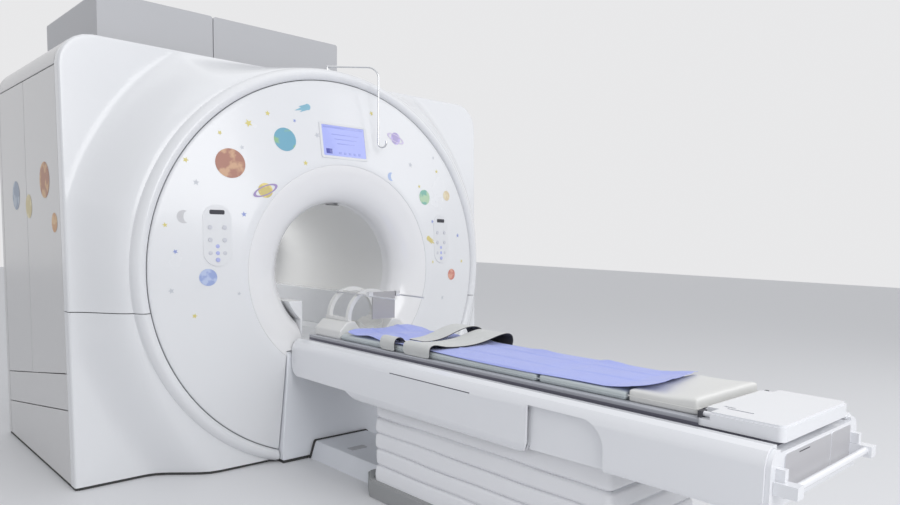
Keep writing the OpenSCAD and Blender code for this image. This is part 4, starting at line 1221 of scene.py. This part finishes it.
@dataclass
class Dock:
    """Bore bed and liner, dock column, channel and plinth."""

    channel_top: float = 0.0905
    channel_split: float = FRONT - 0.2
    mat_front: float = FRONT - 0.0525
    bed_end: float = 0.6485
    end_thick: float = 0.005
    bed_edge: Line = ((0.330, 0.530), (0.330, 0.700), (0.300, 0.735), (0.243, 0.735), (0.243, 0.634),
                      (0.177, 0.6115))

    def build(self) -> None:
        """Dresses them."""
        eased("bore_bed", COVER, 0.0015, "cover_white", segments=2)
        sides = [*self.bed_edge, *((-x, z) for x, z in self.bed_edge[::-1])]
        plate = pulled("bed_end_plate", [(x, self.bed_end, z) for x, z in sides],
                       (0, self.end_thick, 0))
        smooth(plate)
        finish_piece(plate, "gantry", "cover_white", COVER)
        redress(LINER, "bore_liner")
        eased("dock_column", COLUMN, 0.010, "cover_pale")
        channel = eased("floor_channel", CHANNEL, 0.002, "plinth_grey", segments=2)
        paint(channel, PALE, lambda m, n: m.z > self.channel_top and m.y < self.channel_split)
        paint(channel, RUBBER, lambda m, n: m.y > self.mat_front)
        eased("couch_plinth", PLINTH, 0.004, "plinth_grey")
        redress(STAGE, "lift_outer", "lift_inner", "lift_middle")
        redress(BLACK, "lift_motor")


@dataclass
class Bellows:
    """The folded skirt between plinth and couch."""

    half_width: float = 0.2818
    y0: float = FRONT - 0.7342
    y1: float = FRONT - 2.0318
    low: float = 0.0853
    high: float = 0.4520
    folds: int = 5
    tuck: float = 0.011
    crease: float = 0.055
    plump: float = 0.0035
    levels: Sequence[float] = (0.0, 0.025, 0.06, 0.12, 0.22, 0.36, 0.5, 0.64, 0.78, 0.88, 0.94, 0.975)
    side_shares: tuple[float, float] = (0.915, 0.96)
    wall: float = 0.002
    corner: float = 0.022
    long_cuts: int = 48
    cross_cuts: int = 20

    def build(self) -> None:
        """Makes the folds from a box cut into rings."""
        skirt = block("bellows_folds", (-self.half_width, self.y1, self.low),
                      (self.half_width, self.y0, self.high))
        with editing(skirt):
            pick(skirt, Pick.FACE, lambda m, n: abs(n.z) > 0.5)
            bpy.ops.mesh.delete(type="FACE")
            pick(skirt, Pick.EDGE, lambda m, way: abs(way.z) > 0.1)
            bpy.ops.mesh.bevel(offset=self.corner, segments=6, affect="EDGES")
        height = (self.high - self.low) / self.folds
        for i in range(self.folds):
            for part in self.levels:
                if i or part:
                    slice_at(skirt, (0, 0, self.low + height * (i + part)), UP)
        for i in range(1, self.long_cuts):
            slice_at(skirt, (0, self.y1 + (self.y0 - self.y1) * i / self.long_cuts, 0), ALONG)
        for i in range(1, self.cross_cuts):
            slice_at(skirt, (-self.half_width + 2 * self.half_width * i / self.cross_cuts, 0, 0), ACROSS)
        middle = (self.y0 + self.y1) / 2
        picker = random.Random(4)
        waves = [(picker.uniform(4, 13), picker.uniform(0, TAU), picker.uniform(0.0006, 0.0013))
                 for _ in range(5)]

        def fold(p: Vector) -> Vector:
            """Tucks a point in at a crease and lets the vinyl wave and sag a little."""
            level = (p.z - self.low) / height
            part = level - math.floor(level + 1e-6)
            edge = min(part, 1 - part)
            row = math.floor(level + 1e-6) + (1 if part > 0.5 else 0)
            crease = math.exp(-(edge / self.crease) ** 2) if 0 < row < self.folds else 0.0
            inward = self.tuck * crease + self.plump * (1 - abs(math.sin(math.pi * part)) ** 0.7)
            wave = sum(depth * math.sin(rate * p.y + turn + 2.1 * level) for rate, turn, depth in waves)
            ease = max(0.0, min(1.0, (p.z - self.low) / 0.02, (self.high - p.z) / 0.02))
            pull = inward + max(0.0, 0.0012 + wave) * ease
            new = p.copy()
            side_x, side_y = abs(p.x) / self.half_width, abs(p.y - middle) / (self.y0 - middle)
            if side_x > self.side_shares[0]:
                new.x -= math.copysign(pull, p.x)
            if side_y > self.side_shares[1]:
                new.y -= math.copysign(pull, p.y - middle)
            sag = 0.004 * math.sin(6.0 * p.y + 1.9 * row) + 0.002 * math.sin(15.0 * p.y + row)
            new.z += ease * crease * sag
            return new

        reshape(skirt, fold)
        tidy(skirt)
        modify(skirt, "SOLIDIFY", thickness=self.wall, offset=-1.0)
        smooth(skirt, 70)
        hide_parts("bellows")
        skirt.data.materials.clear()
        skirt.data.materials.append(BELLOWS.make())
        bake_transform(skirt)


@dataclass
class Couch:
    """Side covers, end covers, rails, handle and what hangs under the foot."""

    groove_x: float = 0.3274
    groove: Line = ((HEAD - 1.318, COVER_TOP - 0.0498), (HEAD - 0.818, COVER_TOP - 0.0462))
    mark_places: Sequence[Point] = ((-0.052, 0.080, 0.5262), (-0.145, -0.071, 0.6190))

    def build(self) -> None:
        """Dresses the couch."""
        eased("couch_side_covers", COUCH, 0.003, "couch_white", "couch", angle=28)
        ends = eased("couch_end_covers", COUCH, 0.003, "couch_white", "couch")
        paint(ends, END_PANEL, lambda m, n: FOOT - 0.0176 < m.y < FOOT - 0.0164)
        eased("guide_rails", RAIL, 0.0015, "rail_grey", "couch")
        eased("push_handle", COUCH, 0.012, "couch_white", "couch", segments=4, angle=40)
        redress(STEEL, "couch_frame")
        redress(BLACK, "table_drive")
        (y0, z0), (y1, z1) = self.groove
        strips = [block("groove", (x - 0.0006, y0, z0), (x + 0.0006, y1, z1))
                  for x in (-self.groove_x, self.groove_x)]
        finish_piece(joined("cover_grooves", strips), "couch", "couch_white", RAIL)
        marks = [block("mark", (x0, FOOT - 0.0174, z - 0.0015), (x1, FOOT - 0.0168, z + 0.0015))
                 for x0, x1, z in self.mark_places]
        finish_piece(joined("end_panel_marks", marks), "couch", "couch_white", BLACK)


# What lies on the tabletop


@dataclass
class Tabletop:
    """Tabletop, pads, sheet, straps and end unit."""

    pad_half: float = 0.212
    pad_height: float = 0.032
    foot_height: float = 0.044
    head: float = HEAD - 0.255
    split: float = FOOT + 0.912
    foot: float = FOOT + 0.522
    end: float = FOOT + 0.267
    swell: float = 0.004
    curl: float = 0.026
    inset: float = 0.002
    cell: float = 0.022
    cross_cuts: int = 20
    bead: float = 0.0014
    sheet_sides: tuple[float, float] = (-0.203, 0.200)
    sheet_cells: tuple[int, int] = (62, 280)
    quick_cells: tuple[int, int] = (26, 110)
    sheet_edge: float = 0.2015
    sheet_thick: float = 0.0012
    sheet_most: float = 0.2108
    sheet_gap: float = 0.0015
    edge_fall: float = 1.1
    fold_share: float = 0.75
    fold_most: float = 0.052
    step_start: float = 0.110
    step_long: float = 0.130
    curl_long: float = 0.150
    curl_in: float = 0.014
    bulge: float = 0.0022
    rise_share: float = 0.6
    pad_gap: float = 0.001
    welt_in: float = 0.0016
    welt_corner: float = 0.010
    strap_t: float = 0.0035
    strap_rows: int = 4
    strap_paths: Sequence[tuple[str, float, float, float, Line]] = (
        ("strap_wide", FRONT - 1.048, FRONT - 0.870, -0.050, (
            (-0.2190, -0.030), (-0.2220, -0.008), (-0.2215, 0.012), (-0.212, 0.024), (-0.192, 0.0275),
            (-0.165, 0.021), (-0.13, 0.0125), (-0.04, 0.0110), (0.03, 0.015), (0.09, 0.027), (0.15, 0.046),
            (0.20, 0.056), (0.230, 0.044), (0.236, 0.014), (0.2255, -0.012), (0.2195, -0.026))),
        ("strap_thin", FRONT - 0.860, FRONT - 0.740, -0.060, (
            (-0.10, 0.0105), (-0.04, 0.012), (0.02, 0.026), (0.07, 0.046), (0.12, 0.064), (0.17, 0.070),
            (0.210, 0.056), (0.230, 0.026), (0.226, -0.006), (0.2195, -0.024))),
        ("strap_roll", FRONT - 0.806, FRONT - 0.700, -0.010, (
            (-0.2190, -0.028), (-0.2225, -0.006), (-0.2225, 0.014), (-0.213, 0.029), (-0.196, 0.034),
            (-0.179, 0.027), (-0.172, 0.014), (-0.162, 0.0105), (-0.140, 0.0100))))

    def build(self) -> None:
        """Makes everything that lies on the tabletop."""
        board = eased("tabletop", TOP, 0.003, "top_grey", "table", segments=2)
        slice_at(board, (0, 0, TABLE - 0.013), UP)
        paint(board, TOP_EDGE, lambda m, n: m.z < TABLE - 0.0128)
        pads = [self.pad(name, y0 + self.pad_gap, y1 - self.pad_gap, self.pad_height, VINYL, "pad_grey")
                for name, y0, y1 in (("body_pad_long", self.split, self.head),
                                     ("body_pad_short", self.foot, self.split))]
        for pad in pads:
            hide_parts("body_pads")
        foot = self.pad("foot_pad_soft", self.end + self.pad_gap, self.foot - self.pad_gap,
                        self.foot_height, VINYL_WHITE, "pad_white", rise=0.012)
        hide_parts("foot_pad")
        self.sheet(pads + [foot])
        self.straps()
        self.end_unit()

    def pad(self, name: str, y0: float, y1: float, height: float, finish: Finish, slot: str,
            rise: float = 0.0) -> Piece:
        """Makes a padded slab: blown up a little as cloth, then welted round its sides.

        Args:
            name: Its name.
            y0: Its foot end.
            y1: Its head end.
            height: Its height.
            finish: Its finish.
            slot: The record's material slot.
            rise: Extra height towards the foot end.

        Returns:
            The pad.
        """
        half = self.pad_half - self.inset
        pad = block(name, (-half, y0 + self.inset, TABLE),
                    (half, y1 - self.inset, TABLE + height - self.swell))
        modify(pad, "BEVEL", width=0.009, segments=3, limit_method="NONE")
        long = y1 - y0
        steps = max(8, int(long / self.cell))
        for i in range(1, steps):
            slice_at(pad, (0, y0 + long * i / steps, 0), ALONG)
        for i in range(1, self.cross_cuts):
            slice_at(pad, (-half + 2 * half * i / self.cross_cuts, 0, 0), ACROSS)
        tidy(pad)
        start = [point.co.copy() for point in pad.data.vertices]
        run_cloth(pad, 12, 0.015, 0.0, use_pressure=True, uniform_pressure_force=4.0, quality=4, mass=0.2,
                  tension_stiffness=25.0, compression_stiffness=25.0, bending_stiffness=2.0)
        for point, before in zip(pad.data.vertices, start):
            step = point.co - before
            if step.length > self.swell:
                step *= self.swell / step.length
            p = before + step
            up = clamp((before.z - TABLE) / height, 0.0, 1.0)
            across, along = 1 - (before.x / half) ** 4, 1 - abs(2 * (before.y - y0) / long - 1) ** 12
            slope = max(0.0, 1 - (before.y - y0) / (self.rise_share * long)) ** 2
            p.z += up * (self.bulge * across * along + rise * slope)
            point.co = (clamp(p.x, -self.pad_half, self.pad_half), clamp(p.y, y0, y1),
                        clamp(p.z, TABLE, TABLE + height + self.swell + rise))
        pad.data.update()
        modify(pad, "SUBSURF", levels=1, render_levels=1)
        welt = self._welt(name + "_welt", y0, y1, TABLE + (height - self.swell) * 0.5)
        pad = joined(name, [pad, welt])
        smooth(pad, 60)
        finish_piece(pad, "table", slot, finish)
        return pad

    def _welt(self, name: str, y0: float, y1: float, level: float) -> Piece:
        """Runs a thin welt round a pad's sides.

        Args:
            name: Its name.
            y0: The pad's foot end.
            y1: The pad's head end.
            level: Its height.

        Returns:
            The welt.
        """
        half, r, bead = self.pad_half - self.welt_in, self.welt_corner, self.bead
        corners = [(half - r, y1 - r, 0), (-half + r, y1 - r, 90), (-half + r, y0 + r, 180),
                   (half - r, y0 + r, 270)]
        path = [(x + r * math.cos(math.radians(a0 + a)), y + r * math.sin(math.radians(a0 + a)))
                for x, y, a0 in corners for a in (0, 30, 60, 90)]
        parts = []
        for i, a in enumerate(path):
            b = path[(i + 1) % len(path)]
            deselect()
            start, end = Vector((*a, level)), Vector((*b, level))
            bpy.ops.mesh.primitive_cylinder_add(vertices=8, radius=bead, depth=(end - start).length + bead,
                                                location=(start + end) / 2,
                                                rotation=(end - start).to_track_quat("Z", "Y").to_euler())
            settle(bpy.context.object)
            parts.append(bpy.context.object)
        return joined(name, parts)

    def sheet(self, pads: Sequence[Piece]) -> None:
        """Drops the draw sheet on the pads.

        Args:
            pads: What it falls on.
        """
        near, far = self.sheet_sides
        head, foot = HEAD - 0.322, FOOT + 0.415
        long, wide = head - foot, far - near
        nx, ny = self.sheet_cells
        deselect()
        bpy.ops.mesh.primitive_grid_add(x_subdivisions=nx, y_subdivisions=ny, size=1.0)
        cloth = named(bpy.context.object, "draw_sheet_cloth")
        top = TABLE + self.pad_height

        picker = random.Random(11)
        waves = [(picker.uniform(3, 15), picker.uniform(-24, 24), picker.uniform(0, TAU),
                  picker.uniform(0.4, 1.0)) for _ in range(9)]

        def lay(p: Vector) -> Vector:
            """Lays a point of the sheet loosely over the pads, gathered at the head end."""
            u, v = p.x + 0.5, p.y + 0.5
            gather = max(0.0, (v - 0.70) / 0.30)
            y = foot + long * v + 0.085 * (u - 0.2) * max(0.0, 1 - v / 0.25)
            x = near + wide * u + 0.004 * math.sin(9 * v + 1.0)
            up = gather * (0.013 * (1 + math.sin(44 * v + 3.4 * u)) + 0.009 * math.sin(21 * v - 8 * u))
            folds = sum(math.exp(-((u - at - 0.02 * math.sin(3 * v + at * 9)) / 0.014) ** 2)
                        for at in (0.36, 0.69))
            rumple = sum(depth * math.sin(across * u + along * v + turn)
                         for across, along, turn, depth in waves)
            side = 0.006 * math.exp(-((u - 0.90) / 0.07) ** 2) * (1 + math.sin(31 * v))
            small = 0.0032 * folds + 0.0011 * max(0.0, 1.0 + rumple) * (1 - (2 * u - 1) ** 8) + side
            return Vector((x, y, top + 0.007 + max(0.0, up) + small))

        reshape(cloth, lay)
        start = [point.co.copy() for point in cloth.data.vertices]
        self._drop(cloth, pads)
        for point, before in zip(cloth.data.vertices, start):
            p = point.co
            fall = clamp((self.foot + self.step_start - p.y) / self.step_long, 0.0, 1.0)
            step = (self.foot_height - self.pad_height) * fall * fall * (3 - 2 * fall)
            end = max(0.0, 1 - (before.y - foot) / self.curl_long) ** 2
            step += self.curl * end
            p.x -= math.copysign(self.curl_in * end, p.x) * min(1.0, abs(p.x) / 0.1)
            edge = max(0.0, abs(p.x) - self.sheet_edge)
            base = top + self.sheet_gap + step - self.edge_fall * edge
            keep = self.fold_share * max(0.0, before.z - top - 0.0075)
            p.z = min(max(p.z - self.edge_fall * edge, base) + keep, base + self.fold_most)
            p.x = clamp(p.x, -self.sheet_most, self.sheet_most)
        modify(cloth, "SOLIDIFY", thickness=self.sheet_thick, offset=1.0)
        smooth(cloth, 80)
        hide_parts("draw_sheet")
        finish_piece(cloth, "table", "sheet_blue", SHEET)

    def _drop(self, cloth: Piece, pads: Sequence[Piece]) -> None:
        """Lets the sheet settle on the pads.

        Args:
            cloth: The sheet.
            pads: What it falls on.
        """
        for pad in pads:
            only(pad)
            bpy.ops.object.modifier_add(type="COLLISION")
            pad.collision.thickness_outer = 0.002
            pad.collision.cloth_friction = 25.0
        run_cloth(cloth, 14, 0.0015, 1.0, quality=5, mass=0.10, tension_stiffness=40.0,
                  compression_stiffness=40.0, bending_stiffness=0.5, air_damping=4.0)
        for pad in pads:
            only(pad)
            bpy.ops.object.modifier_remove(modifier=pad.modifiers[-1].name)

    def straps(self) -> None:
        """Lays the two body straps and the loose roll across the pads."""
        up = TABLE + self.pad_height
        for name, y0, y1, drift, path in self.strap_paths:
            self.band(name, [(x, up + z) for x, z in path], y0, y1, drift)

    def band(self, name: str, line: Line, y0: float, y1: float, drift: float) -> None:
        """Makes one strap: a pale face with a dark underside.

        Args:
            name: Its name.
            line: Its path across the pads.
            y0: Its foot-side edge.
            y1: Its head-side edge.
            drift: How far it wanders along the couch from end to end.
        """
        strap = outline(name, [(x, y0, z) for x, z in line])
        with editing(strap):
            for _ in range(self.strap_rows):
                bpy.ops.mesh.extrude_region_move(
                    TRANSFORM_OT_translate={"value": (0, (y1 - y0) / self.strap_rows, 0)})
        low, high = line[0][0], line[-1][0]

        def wander(p: Vector) -> Vector:
            """Lets the strap wander along the couch."""
            t = (p.x - low) / (high - low)
            p.y += drift * t + 0.003 * math.sin(20 * p.x)
            return p

        reshape(strap, wander)
        modify(strap, "SUBSURF", levels=2, render_levels=2)
        face_along(strap, UP)
        for finish in (STRAP, STRAP_DARK):
            strap.data.materials.append(finish.make())
        modify(strap, "SOLIDIFY", thickness=self.strap_t, offset=0.0, material_offset=1,
               material_offset_rim=1)
        smooth(strap, 50)
        if name == "strap_wide":
            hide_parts("body_straps")
        finish_piece(strap, "table", "strap_grey", STRAP, STRAP_DARK)

    def end_unit(self) -> None:
        """Dresses the box at the foot end and its black connectors."""
        unit = eased("end_unit", COUCH, 0.004, "couch_white", "table")
        paint(unit, BLACK, lambda m, n: m.y > self.end - 0.0155 or self._socket(m))
        paint(unit, RAIL, lambda m, n: n.z > 0.9 and 0.027 < m.z - TABLE < 0.0285)

    def _socket(self, place: Vector) -> bool:
        """Tells whether a place is on a socket in the end unit's notches."""
        return (abs(place.x) > 0.19 and place.y > self.end - 0.0262
                and TABLE + 0.0045 < place.z < TABLE + 0.0245)


@dataclass
class HeadCoil:
    """Head coil's base and frame, rods and mirror."""

    cushion_low: Point = (-0.075, FRONT - 0.325, 0.692)
    cushion_high: Point = (0.075, FRONT - 0.125, 0.722)
    bowl_z: float = 0.8152
    bowl_r: float = 0.125

    def build(self) -> None:
        """Dresses the coil."""
        eased("coil_base", COIL, 0.006, "coil_white", "table", angle=25)
        eased("coil_frame", COIL, 0.004, "coil_white", "table", angle=30)
        redress(ROD, "mirror_rods")
        mirror = eased("head_mirror", MIRROR_CASE, 0.0015, "mirror_back", "mirror", segments=2)
        paint(mirror, MIRROR, lambda m, n: n.y > 0.9)
        self.cushion()

    def cushion(self) -> None:
        """Lays the cream neck cushion in the base."""
        cushion = block("neck_cushion", self.cushion_low, self.cushion_high)
        with editing(cushion):
            bpy.ops.mesh.subdivide(number_cuts=5)
        modify(cushion, "SUBSURF", levels=2, render_levels=2)

        def hollow(p: Vector) -> Vector:
            """Bends the cushion into the base's round hollow."""
            across = p.x / self.cushion_high[0]
            bowl = self.bowl_z - math.sqrt(max(0.0, self.bowl_r ** 2 - p.x ** 2))
            p.z = bowl + (p.z - self.cushion_low[2]) * (1.0 + 0.5 * across ** 2)
            return p

        reshape(cushion, hollow)
        smooth(cushion, 60)
        finish_piece(cushion, "table", "coil_white", FOAM)


def main() -> None:
    """Builds the scene in order."""
    logging.basicConfig(level=logging.INFO, format="%(message)s")
    random.seed(2)
    Camera().build()
    Studio().build()
    for part in (Casing(), Fascia(), Stickers(), Dock(), Bellows(), Couch(), Tabletop(), HeadCoil()):
        part.build()
        log.info("%s built", type(part).__name__)


if __name__ == "__main__":
    main()
